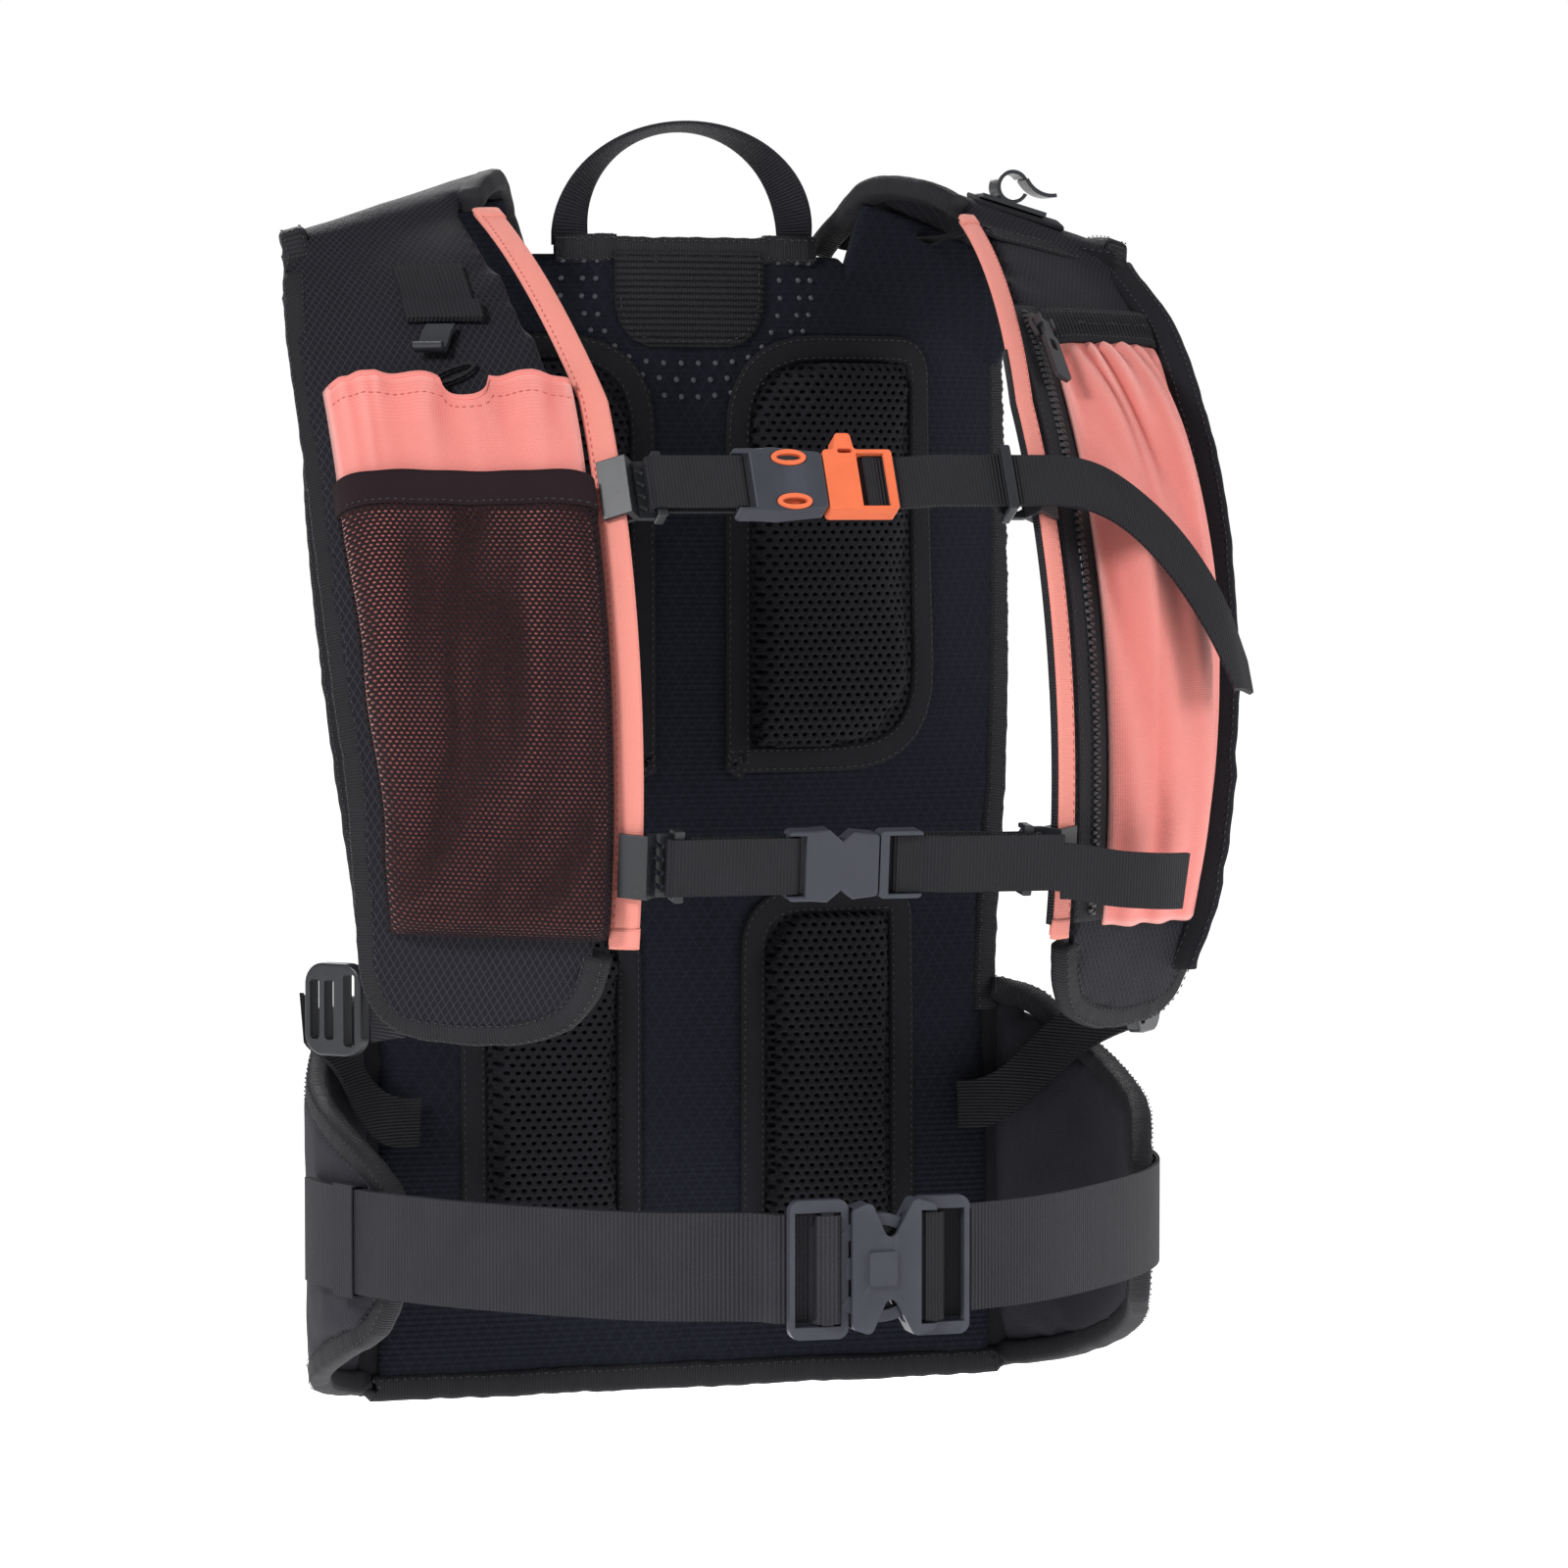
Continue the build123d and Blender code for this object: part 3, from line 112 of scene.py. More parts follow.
# ---------------------------------------------------------------- materials
class Shader:
    """A node material with a Principled shader and a few shorthand calls for building patterns."""

    def __init__(self, name, roughness, **uniform):
        self.material = bpy.data.materials.new(name)
        self.material.use_nodes = True
        self.tree = self.material.node_tree
        self.tree.nodes.clear()
        output = self.tree.nodes.new("ShaderNodeOutputMaterial")
        self.principled = self.tree.nodes.new("ShaderNodeBsdfPrincipled")
        self.tree.links.new(self.principled.outputs[0], output.inputs[0])
        self.principled.inputs["Roughness"].default_value = roughness
        for socket, value in uniform.items():
            self.principled.inputs[socket.replace("_", " ")].default_value = value

    def place(self, socket, value):
        if isinstance(value, bpy.types.NodeSocket):
            self.tree.links.new(value, socket)
        else:
            socket.default_value = value

    def math(self, operation, a, b=0.0, c=0.0):
        node = self.tree.nodes.new("ShaderNodeMath")
        node.operation = operation
        for socket, value in zip(node.inputs, (a, b, c)):
            self.place(socket, value)
        return node.outputs[0]

    def add(self, a, b):
        return self.math("ADD", a, b)

    def minus(self, a, b):
        return self.math("SUBTRACT", a, b)

    def times(self, a, b):
        return self.math("MULTIPLY", a, b)

    def mix(self, share, a, b):
        node = self.tree.nodes.new("ShaderNodeMix")
        node.data_type = "RGBA"
        self.place(node.inputs["Factor"], share)
        self.place(node.inputs["A"], a)
        self.place(node.inputs["B"], b)
        return node.outputs["Result"]

    def object_axes(self):
        """The piece's own x, y and z in metres."""
        coordinates = self.tree.nodes.new("ShaderNodeTexCoord")
        split = self.tree.nodes.new("ShaderNodeSeparateXYZ")
        self.tree.links.new(coordinates.outputs["Object"], split.inputs[0])
        return split.outputs[0], split.outputs[1], split.outputs[2]

    def strap_axes(self):
        """Metres outward across a strap and up along its arc, the same on both sides."""
        x, y, z = self.object_axes()
        outward = self.times(self.math("ABSOLUTE", x), 1 / cos(TURN))
        sine = self.math("DIVIDE", self.minus(z, ARC.z * MM), ARC_R * MM)
        sine = self.math("MINIMUM", self.math("MAXIMUM", sine, -0.99), 0.99)
        return outward, self.times(self.math("ARCSINE", sine), ARC_R * MM)

    def weave_axes(self):
        """Metres along and across a piece, as its maker stored them."""
        attribute = self.tree.nodes.new("ShaderNodeAttribute")
        attribute.attribute_name = "weave"
        split = self.tree.nodes.new("ShaderNodeSeparateXYZ")
        self.tree.links.new(attribute.outputs["Vector"], split.inputs[0])
        return split.outputs[0], split.outputs[1]

    def noise(self, scale, detail=3.0):
        coordinates = self.tree.nodes.new("ShaderNodeTexCoord")
        node = self.tree.nodes.new("ShaderNodeTexNoise")
        node.inputs["Scale"].default_value = scale
        node.inputs["Detail"].default_value = detail
        self.tree.links.new(coordinates.outputs["Object"], node.inputs["Vector"])
        return node.outputs["Fac"]

    def wave(self, along, pitch):
        """0 to 1 and back once per pitch."""
        turned = self.math("SINE", self.times(along, 2 * pi / pitch))
        return self.math("MULTIPLY_ADD", turned, 0.5, 0.5)

    def line(self, along, pitch, share):
        """1 on a thin line once per pitch, 0 between lines."""
        return self.math("GREATER_THAN", self.wave(along, pitch), 1 - share)

    def bump(self, height, distance, strength=1.0, rounded=0.0):
        node = self.tree.nodes.new("ShaderNodeBump")
        node.inputs["Distance"].default_value = distance
        node.inputs["Strength"].default_value = strength
        self.place(node.inputs["Height"], height)
        if rounded:
            edge = self.tree.nodes.new("ShaderNodeBevel")
            edge.samples = 4
            edge.inputs["Radius"].default_value = rounded
            self.tree.links.new(edge.outputs[0], node.inputs["Normal"])
        self.tree.links.new(node.outputs[0], self.principled.inputs["Normal"])

    def colour(self, value):
        self.tree.links.new(value, self.principled.inputs["Base Color"])

    def rough(self, value):
        self.tree.links.new(value, self.principled.inputs["Roughness"])


def shade(colour, by):
    return (*[min(1.0, part * by) for part in colour], 1.0)


def cloth(name, colour, pitch, diamonds=0.0, ribs=0.0, roughness=0.85, contrast=0.25, run="front",
          sheen=0.02, thread=1.0, painted_fold_light=False):
    """Woven cloth: fine threads, and where asked a ripstop grid of diamonds, ribs along x, or painted shade in the
    valleys of its folds and a painted highlight on their ridges.
    run says where its axes come from: front (seen from the chest side), strap (along the arc) or stored."""
    shader = Shader(name, roughness, Specular_IOR_Level=0.08, Sheen_Weight=sheen, Sheen_Roughness=0.4)
    if run == "stored":
        along, up = shader.weave_axes()
    elif run == "strap":
        along, up = shader.strap_axes()
    else:
        x, y, up = shader.object_axes()
        along = shader.add(x, shader.times(y, 0.6))
    threads = shader.times(shader.wave(along, pitch), shader.wave(up, pitch))
    height = shader.times(threads, 0.5)
    if diamonds:
        skew = shader.times(along, 1.6)
        falling = shader.line(shader.add(skew, up), diamonds, 0.06)
        rising = shader.line(shader.minus(skew, up), diamonds, 0.06)
        grid = shader.math("MAXIMUM", falling, rising)
        height = shader.add(height, grid)
    if ribs:
        height = shader.add(height, shader.wave(up, ribs))
    shader.bump(height, 0.00035, 0.8)
    cloud = shader.noise(38.0)
    fine = shader.noise(900.0, 1.0)
    tone = shader.add(shader.times(cloud, 0.7), shader.times(height, 0.25))
    tone = shader.add(tone, shader.times(fine, 0.15))
    face = shader.mix(tone, shade(colour, 1 - contrast), shade(colour, 1 + contrast))
    if diamonds:
        face = shader.mix(grid, face, shade(colour, thread))
    if painted_fold_light:
        # Painted light: the surface's curvature paints a pale pink highlight onto fold ridges and a deep, saturated
        # coral shade into fold valleys.
        geometry = shader.tree.nodes.new("ShaderNodeNewGeometry")
        ridge = shader.times(shader.minus(geometry.outputs["Pointiness"], 0.5), 14.0)
        ridge_highlight = shader.math("MINIMUM", shader.math("MAXIMUM", ridge, 0.0), 0.6)
        valley_shade = shader.math("MINIMUM", shader.math("MAXIMUM", shader.times(ridge, -1.0), 0.0), 0.85)
        face = shader.mix(ridge_highlight, face, (0.72, 0.36, 0.33, 1.0))
        face = shader.mix(valley_shade, face, (0.5, 0.06, 0.055, 1.0))
    shader.colour(face)
    shader.rough(shader.math("MULTIPLY_ADD", cloud, 0.2, roughness - 0.1))
    return shader.material


def webbing(name, colour, run, pitch=1.25):
    """Ribbed webbing. run says which way its length goes: x, belt, z or stored."""
    shader = Shader(name, 0.62, Specular_IOR_Level=0.13)
    if run == "stored":
        along, across = shader.weave_axes()
    else:
        x, y, z = shader.object_axes()
        across = z
        if run == "belt":
            along = shader.times(shader.math("ARCTAN2", x, shader.times(y, -1.0)), 0.19)
        elif run == "z":
            along = z
            across = x
        else:
            along = x
    rib = shader.wave(along, pitch * MM)
    twist = shader.wave(shader.add(across, shader.times(along, 0.5)), 0.9 * MM)
    height = shader.add(rib, shader.times(twist, 0.35))
    shader.bump(height, 0.0004, 0.9)
    cloud = shader.noise(60.0)
    tone = shader.add(shader.times(rib, 0.5), shader.times(cloud, 0.5))
    shader.colour(shader.mix(tone, shade(colour, 0.55), shade(colour, 1.5)))
    shader.rough(shader.math("MULTIPLY_ADD", cloud, 0.15, 0.52))
    return shader.material


def plastic(name, colour, roughness, rounded=0.5 * MM, worn=1.6, gloss=0.42):
    """Moulded plastic: fine spark texture, softened edges and slightly rubbed corners."""
    shader = Shader(name, roughness, Specular_IOR_Level=gloss)
    grain = shader.noise(2600.0, 2.0)
    cloud = shader.noise(90.0)
    shader.bump(grain, 0.00006, 0.6, rounded)
    geometry = shader.tree.nodes.new("ShaderNodeNewGeometry")
    sharp = shader.times(shader.minus(geometry.outputs["Pointiness"], 0.53), 9.0)
    corner = shader.math("SMOOTH_MIN", sharp, 1.0, 0.1)
    rub = shader.math("MAXIMUM", shader.times(corner, cloud), 0.0)
    base = shader.mix(cloud, shade(colour, 0.85), shade(colour, 1.15))
    shader.colour(shader.mix(rub, base, shade(colour, worn)))
    shader.rough(shader.math("MULTIPLY_ADD", cloud, 0.16, roughness - 0.08))
    return shader.material


CORAL = (0.62, 0.196, 0.172)
BLACK = (0.0088, 0.0086, 0.0115)
# The pockets' coral cloth has painted shade in its fold valleys and a painted highlight on its fold ridges.
coral_fold = cloth("coral_fold", CORAL, 0.9 * MM, contrast=0.08, roughness=0.5, run="stored", sheen=0.12, painted_fold_light=True)
coral_cloth = cloth("coral_cloth", CORAL, 0.9 * MM, contrast=0.08, roughness=0.55, run="stored", sheen=0.12)
coral_band = cloth("coral_band", (0.66, 0.235, 0.195), 0.9 * MM, contrast=0.07, roughness=0.6, run="stored", sheen=0.06)
ripstop = cloth("ripstop", BLACK, 0.8 * MM, diamonds=5.0 * MM, contrast=0.35, roughness=0.62, run="strap", thread=2.7)
bag_ripstop = cloth("bag_ripstop", BLACK, 0.8 * MM, diamonds=5.0 * MM, contrast=0.35, roughness=0.62, thread=2.2)
panel_cloth = cloth("panel_cloth", (0.0085, 0.0095, 0.014), 1.0 * MM, diamonds=9 * MM, ribs=2.2 * MM, contrast=0.4,
                    roughness=0.95, thread=1.4)
binding_tape = webbing("binding_tape", (0.016, 0.016, 0.019), "stored", 1.1)
plain_black = cloth("plain_black", (0.013, 0.013, 0.016), 0.8 * MM, contrast=0.3, roughness=0.8, run="stored")
grey_cloth = cloth("grey_cloth", (0.022, 0.022, 0.028), 0.8 * MM, contrast=0.25, roughness=0.7)
mesh_thread = cloth("mesh_thread", (0.015, 0.0075, 0.0095), 0.7 * MM, contrast=0.3, roughness=0.7, run="stored")
spacer_thread = cloth("spacer_thread", (0.012, 0.012, 0.015), 0.7 * MM, contrast=0.3, roughness=0.75, run="stored")
pad_core = cloth("pad_core", (0.004, 0.004, 0.006), 0.9 * MM, contrast=0.3, roughness=0.95)
web_x = webbing("web_x", (0.014, 0.014, 0.017), "x")
web_belt = webbing("web_belt", (0.023, 0.023, 0.028), "belt", 1.35)
web_z = webbing("web_z", (0.013, 0.013, 0.016), "z")
web_run = webbing("web_run", (0.014, 0.014, 0.018), "stored")
moulded_dark = plastic("moulded_dark", (0.032, 0.034, 0.045), 0.45, gloss=0.3)
gloss_plastic = plastic("gloss_plastic", (0.014, 0.015, 0.018), 0.3)
moulded_orange = plastic("moulded_orange", (0.64, 0.135, 0.055), 0.55, worn=1.1, gloss=0.2)
zip_plastic = plastic("zip_plastic", (0.018, 0.018, 0.021), 0.38, 0.25 * MM)
black_thread = plastic("black_thread", (0.028, 0.028, 0.034), 0.7, 0.1 * MM)
coral_thread = plastic("coral_thread", (0.5, 0.1, 0.09), 0.7, 0.1 * MM)
rubber_dot = plastic("rubber_dot", (0.035, 0.037, 0.045), 0.45, 0.1 * MM)


# ---------------------------------------------------------------- mesh helpers
class Skin:
    """The surface of a CAD node, for laying pieces on it."""

    def __init__(self, node):
        mesh = frame["nodes"][node].data
        self.tree = BVHTree.FromPolygons([v.co[:] for v in mesh.vertices], [p.vertices[:] for p in mesh.polygons])

    def front(self, x, z):
        """(point, normal towards the chest side) at x, z in millimetres."""
        for step in range(30):
            inward = x - copysign(0.5 * step, x)
            hit = self.tree.ray_cast(Vector((inward * MM, -0.5, z * MM)), Vector((0, 1, 0)))
            if hit[0] is not None:
                break
        if hit[0] is None:
            near = self.tree.find_nearest(Vector((x * MM, -0.2, z * MM)))
            return near[0], Vector((0, -1, 0))
        normal = hit[1]
        if normal.y > 0:
            normal = -normal
        return hit[0], normal


def finish_piece(name, mesh, material, body, replaces=(), slot=None, thick=0.0, subdivide=0, offset=0.0):
    mesh.polygons.foreach_set("use_smooth", [True] * len(mesh.polygons))
    mesh.materials.append(material)
    piece = bpy.data.objects.new(name, mesh)
    SCENE.collection.objects.link(piece)
    if thick:
        solid = piece.modifiers.new("thickness", "SOLIDIFY")
        solid.thickness = thick
        solid.offset = offset
    if subdivide:
        smooth = piece.modifiers.new("smooth", "SUBSURF")
        smooth.levels = subdivide
        smooth.render_levels = subdivide
    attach(piece, body)
    if replaces:
        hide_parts(*replaces)
    return piece


def build(name, points, faces, weave, material, body, **options):
    """A piece from points, faces and each point's place along and across the cloth."""
    mesh = bpy.data.meshes.new(name)
    mesh.from_pydata([p[:] for p in points], [], faces)
    if weave:
        attribute = mesh.attributes.new("weave", "FLOAT_VECTOR", "POINT")
        attribute.data.foreach_set("vector", [n for a, b in weave for n in (a, b, 0.0)])
    mesh.update()
    return finish_piece(name, mesh, material, body, **options)


def lengths(points):
    """Distance along a row of points, starting at 0."""
    total = [0.0]
    for a, b in zip(points, points[1:]):
        total.append(total[-1] + (b - a).length)
    return total


def grid(name, place, columns, rows, material, **options):
    """A sheet on the pack: place(s, t) gives the point at shares s across and t up."""
    table = [[place(i / columns, j / rows) for i in range(columns + 1)] for j in range(rows + 1)]
    middle = lengths([row[columns // 2] for row in table])
    points, weave, faces = [], [], []
    for row, up in zip(table, middle):
        along = lengths(row)
        points += row
        weave += [(a - along[columns // 2], up) for a in along]
    for j in range(rows):
        for i in range(columns):
            k = j * (columns + 1) + i
            faces.append((k, k + 1, k + columns + 2, k + columns + 1))
    return build(name, points, faces, weave, material, "pack", **options)


def flat_profile(width, thick, count=14):
    """Closed section of a flat band with rounded edges, in metres."""
    section = []
    for k in range(count):
        a = 2 * pi * k / count
        x, y = cos(a), sin(a)
        across = width / 2 * abs(x) ** 0.45 * (1 if x > 0 else -1)
        section.append((across, thick / 2 * abs(y) ** 0.75 * (1 if y > 0 else -1)))
    return section


def sweep(name, stations, size, material, body="pack", closed=False, slot="webbing", **options):
    """A band of a width and thickness in mm: stations are (centre, across, up) along it."""
    section = flat_profile(size[0] * MM, size[1] * MM)
    count = len(section)
    points, weave, faces = [], [], []
    run = lengths([s[0] for s in stations])
    for (centre, across, up), along in zip(stations, run):
        for a, b in section:
            points.append(centre + across * a + up * b)
            weave.append((along, a))
    last = len(stations) - 1
    for j in range(len(stations) if closed else last):
        here, there = j * count, ((j + 1) % len(stations)) * count
        for k in range(count):
            m = (k + 1) % count
            faces.append((here + k, here + m, there + m, there + k))
    if not closed:
        faces.append(tuple(reversed(range(count))))
        faces.append(tuple(last * count + k for k in range(count)))
    return build(name, points, faces, weave, material, body, slot=slot, **options)


def curve_points(points, step, closed=False):
    """Points on a smooth line through the given ones, about step apart."""
    points = [Vector(p) for p in points]
    count = len(points)
    made = []
    for k in range(count if closed else count - 1):
        a = points[(k - 1) % count] if closed or k else points[0]
        b, c = points[k], points[(k + 1) % count]
        d = points[(k + 2) % count] if closed or k + 2 < count else points[-1]
        pieces = max(2, round((c - b).length / step))
        for i in range(pieces):
            t = i / pieces
            made.append(0.5 * ((2 * b) + (c - a) * t + (2 * a - 5 * b + 4 * c - d) * t * t
                               + (3 * b - a - 3 * c + d) * t ** 3))
    if not closed:
        made.append(points[-1])
    return made


def rounded(corners, radii, pieces=7):
    """Outline in x, z with each corner turned by its own radius."""
    made = []
    count = len(corners)
    for k in range(count):
        corner = Vector(corners[k])
        back = (Vector(corners[k - 1]) - corner).normalized()
        on = (Vector(corners[(k + 1) % count]) - corner).normalized()
        start, end = corner + back * radii[k], corner + on * radii[k]
        for i in range(pieces + 1):
            t = i / pieces
            made.append(start * (1 - t) ** 2 + corner * (2 * t * (1 - t)) + end * t * t)
    return made


def inset(outline, distance):
    """The outline drawn in by a distance."""
    count = len(outline)
    middle = sum(outline, Vector((0, 0))) / count
    made = []
    for k in range(count):
        run = (outline[(k + 1) % count] - outline[k - 1]).normalized()
        side = Vector((-run.y, run.x))
        if side.dot(middle - outline[k]) < 0:
            side = -side
        made.append(outline[k] + side * distance)
    return made


def even(points, step, closed=False):
    """Points resampled at equal steps along straight runs."""
    ring = points + [points[0]] if closed else points
    run = lengths(ring)
    count = max(3, round(run[-1] / step))
    made, k = [], 0
    for i in range(count if closed else count + 1):
        at = run[-1] * i / count
        while k < len(run) - 2 and run[k + 1] < at:
            k += 1
        span = run[k + 1] - run[k]
        made.append(ring[k].lerp(ring[k + 1], (at - run[k]) / span if span else 0.0))
    return made


def inside(outline, x, z):
    """Whether x, z is inside a closed outline."""
    found = False
    for a, b in zip(outline, outline[1:] + outline[:1]):
        if (a.y > z) != (b.y > z) and x < (b.x - a.x) * (z - a.y) / (b.y - a.y) + a.x:
            found = not found
    return found


def laid(skin, path, lift, closed=False):
    """Stations of a band lying on a skin along a path of x, z in millimetres."""
    hits = [skin.front(p.x, p.y) for p in path]
    points = [point + normal * lift for point, normal in hits]
    stations = []
    count = len(points)
    for k, (point, (_, normal)) in enumerate(zip(points, hits)):
        if closed:
            run = points[(k + 1) % count] - points[k - 1]
        else:
            run = points[min(k + 1, count - 1)] - points[max(k - 1, 0)]
        across = run.cross(normal).normalized()
        up = across.cross(run).normalized()
        if up.dot(normal) < 0:
            up = -up
        stations.append((point, across, up))
    return stations


stitches = {}


STITCH_PITCH, STITCH_LENGTH, THREAD_RADIUS = 3.1 * MM, 2.1 * MM, 0.32 * MM


def stitch(stations, offsets, lift, thread=black_thread, closed=False):
    """Add lines of thread stitches along stations, at offsets and a lift in mm; each thread becomes one piece."""
    for offset in offsets:
        stitch_line(stations, offset * MM, lift * MM, thread, closed)


def stitch_line(stations, offset, lift, thread, closed):
    line = [centre + across * offset + up * lift for centre, across, up in stations]
    ups = [up for _, _, up in stations]
    if closed:
        line.append(line[0])
        ups.append(ups[0])
    run = lengths(line)
    points, faces = stitches.setdefault(thread.name, ([], []))
    at, k = STITCH_PITCH / 2, 0
    while at < run[-1]:
        while k < len(run) - 2 and run[k + 1] < at:
            k += 1
        span = max(run[k + 1] - run[k], 1e-9)
        centre = line[k].lerp(line[k + 1], (at - run[k]) / span)
        go = (line[k + 1] - line[k]).normalized()
        up = ups[k]
        side = go.cross(up).normalized()
        base = len(points)
        points += [centre - go * STITCH_LENGTH / 2, centre + go * STITCH_LENGTH / 2]
        points += [centre + way * THREAD_RADIUS for way in (side, up, -side, -up)]
        for a, b in ((2, 3), (3, 4), (4, 5), (5, 2)):
            faces.append((base, base + b, base + a))
            faces.append((base + 1, base + a, base + b))
        at += STITCH_PITCH


def padded_copy(node, name, material, voxel, shrink, pressure, cap, scale=(1, 1), outer_only=False,
                crease=None, slot=None, reshape=None):
    """A CAD soft solid as fabric: remeshed, swelled by cloth simulation, capped and smoothed."""
    source = frame["nodes"][node]
    start = bpy.data.objects.new(name + "_start", source.data.copy())
    SCENE.collection.objects.link(start)
    low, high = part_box(node)
    middle = (low + high) / 2
    for v in start.data.vertices:
        v.co.x = middle.x + (v.co.x - middle.x) * scale[0]
        v.co.z = middle.z + (v.co.z - middle.z) * scale[1]
        if reshape:
            v.co = reshape(v.co / MM) * MM
    remesh = start.modifiers.new("remesh", "REMESH")
    remesh.mode = "VOXEL"
    remesh.voxel_size = voxel
    graph = bpy.context.evaluated_depsgraph_get()
    mesh = bpy.data.meshes.new_from_object(start.evaluated_get(graph))
    bpy.data.objects.remove(start)
    form = bmesh.new()
    form.from_mesh(mesh)
    if outer_only:
        keep_outer(form)
    for _ in range(3):
        bmesh.ops.smooth_vert(form, verts=form.verts, factor=0.5, use_axis_x=True, use_axis_y=True, use_axis_z=True)
    form.normal_update()
    for v in form.verts:
        v.co -= v.normal * shrink
    form.to_mesh(mesh)
    form.free()
    mesh.name = name
    mesh.materials.clear()
    piece = finish_piece(name, mesh, material, body_of(node), replaces=[node], slot=slot, subdivide=1)
    swell(piece, pressure, cap)
    if crease:
        for v, n in zip(piece.data.vertices, [v.normal.copy() for v in piece.data.vertices]):
            v.co += n * crease(v.co / MM, n) * MM
    return piece


def keep_outer(form):
    """Remove the inner wall of a hollow form, which never shows."""
    seen, best = set(), []
    for first in form.verts:
        if first in seen:
            continue
        seen.add(first)
        island, queue = [first], [first]
        while queue:
            for edge in queue.pop().link_edges:
                for v in edge.verts:
                    if v not in seen:
                        seen.add(v)
                        island.append(v)
                        queue.append(v)
        if len(island) > len(best):
            best = island
    outer = set(best)
    bmesh.ops.delete(form, geom=[v for v in form.verts if v not in outer], context="VERTS")


def swell(piece, pressure, cap, frames=20):
    """Cloth simulation with inner pressure; no point moves further than cap."""
    if not pressure:
        return
    rest = [v.co.copy() for v in piece.data.vertices]
    smooth = piece.modifiers.get("smooth")
    smooth.show_viewport = False
    cloth_modifier = piece.modifiers.new("cloth", "CLOTH")
    settings = cloth_modifier.settings
    settings.use_pressure = True
    settings.uniform_pressure_force = pressure
    settings.effector_weights.gravity = 0
    settings.quality = 4
    cloth_modifier.collision_settings.use_collision = False
    cloth_modifier.point_cache.frame_end = frames
    for number in range(1, frames + 1):
        SCENE.frame_set(number)
    graph = bpy.context.evaluated_depsgraph_get()
    moved = [v.co.copy() for v in piece.evaluated_get(graph).to_mesh().vertices]
    piece.modifiers.remove(cloth_modifier)
    for v, was, now in zip(piece.data.vertices, rest, moved):
        step = now - was
        if step.length > cap:
            step *= cap / step.length
        v.co = was + step
    piece.data.update()
    smooth.show_viewport = True
    SCENE.frame_set(1)


BODY_OF = {node: body for body, nodes in frame["record"]["behaviour"]["bodies"].items() for node in nodes}


def body_of(node):
    return BODY_OF[node]


def lattice(name, place, width, height, pitch, hole, wanted, material, body, **options):
    """Knitted mesh with real staggered holes: place(u, v) in millimetres gives each point."""
    step_u, step_v = pitch
    points, weave, faces, shared = [], [], [], {}

    def corner(u, v):
        key = (round(u * 20), round(v * 20))
        if key not in shared:
            shared[key] = len(points)
            points.append(place(u, v, 0.0))
            weave.append((u * MM, v * MM))
        return shared[key]

    for j in range(int(height / step_v) + 1):
        for i in range(int(width / step_u) + 1):
            u = (i + 0.5 * (j % 2)) * step_u
            v = j * step_v
            if not wanted(u, v):
                continue
            ring = []
            for a, b in ((0.5, -1 / 3), (0.5, 1 / 3), (0, 2 / 3), (-0.5, 1 / 3), (-0.5, -1 / 3), (0, -2 / 3)):
                ring.append(corner(u + a * step_u, v + b * step_v))
            inner = []
            for k in range(6):
                a = radians(-30 + 60 * k)
                inner.append(len(points))
                points.append(place(u + hole[0] / 2 * cos(a), v + hole[1] / 2 * sin(a), -0.35))
                weave.append((u * MM, v * MM))
            for k in range(6):
                m = (k + 1) % 6
                faces.append((ring[k], ring[m], inner[m], inner[k]))
    return build(name, points, faces, weave, material, body, **options)


# ---------------------------------------------------------------- skins used below
panel_skin = Skin("back_panel")
strap_skin = Skin("shoulder_strap_right")


# ---------------------------------------------------------------- back panel, its bindings and pads
def panel_crease(at, normal):
    """Faint quilting of the back panel, and a soft channel down its middle."""
    if normal.y > 0:
        return 0.0
    soft = 0.5 * wobble(at.x / 34, at.z / 47, 1.0) + 0.25 * wobble(at.x / 11, at.z / 13, 4.0)
    channel = -1.1 * max(0.0, 1 - (at.x / 9) ** 2)
    return soft + channel


padded_copy("back_panel", "panel_fabric", panel_cloth, 4.0 * MM, 0.4 * MM, 1.5, 1.2 * MM,
            crease=panel_crease, slot="panel_fabric")

SIDE_EDGE = [(126, 140), (126.5, 165), (131, 205), (136, 250), (140, 300), (142, 345), (142, 398)]
EDGE_IN = 3.5
SIDE_TAPE = (10.0, 8.0)


def edge_crinkle(stations, amount, seed):
    """Small puckers of a tape folded over an edge."""
    made = []
    for k, (centre, across, up) in enumerate(stations):
        moved = centre + across * amount * wobble(k * 0.35, seed) + up * amount * wobble(k * 0.5, seed + 9)
        made.append((moved, across, up))
    return made


for side, label in ((1, "right"), (-1, "left")):
    path = [Vector((side * (p.x - EDGE_IN), p.y)) for p in even(curve_points(SIDE_EDGE, 6.0), 2.5)]
    line = edge_crinkle(laid(panel_skin, path, -2.5 * MM), 0.7 * MM, side * 3.0)
    sweep(f"side_binding_{label}", line, SIDE_TAPE, binding_tape)
    stitch(line, (side * 3.2, side * -3.2), 4.1)

neck_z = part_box("neck_binding")[0].z / MM - 1.5
neck_path = [Vector((x, neck_z + 2.2 * (abs(x) / 66) ** 3)) for x in range(-68, 69, 2)]
neck_line = edge_crinkle(laid(panel_skin, neck_path, -2.5 * MM), 0.6 * MM, 5.0)
sweep("neck_tape", neck_line, (11, 8.4), binding_tape, replaces=["neck_binding"])
stitch(neck_line, (3.8, -3.8), 4.0)

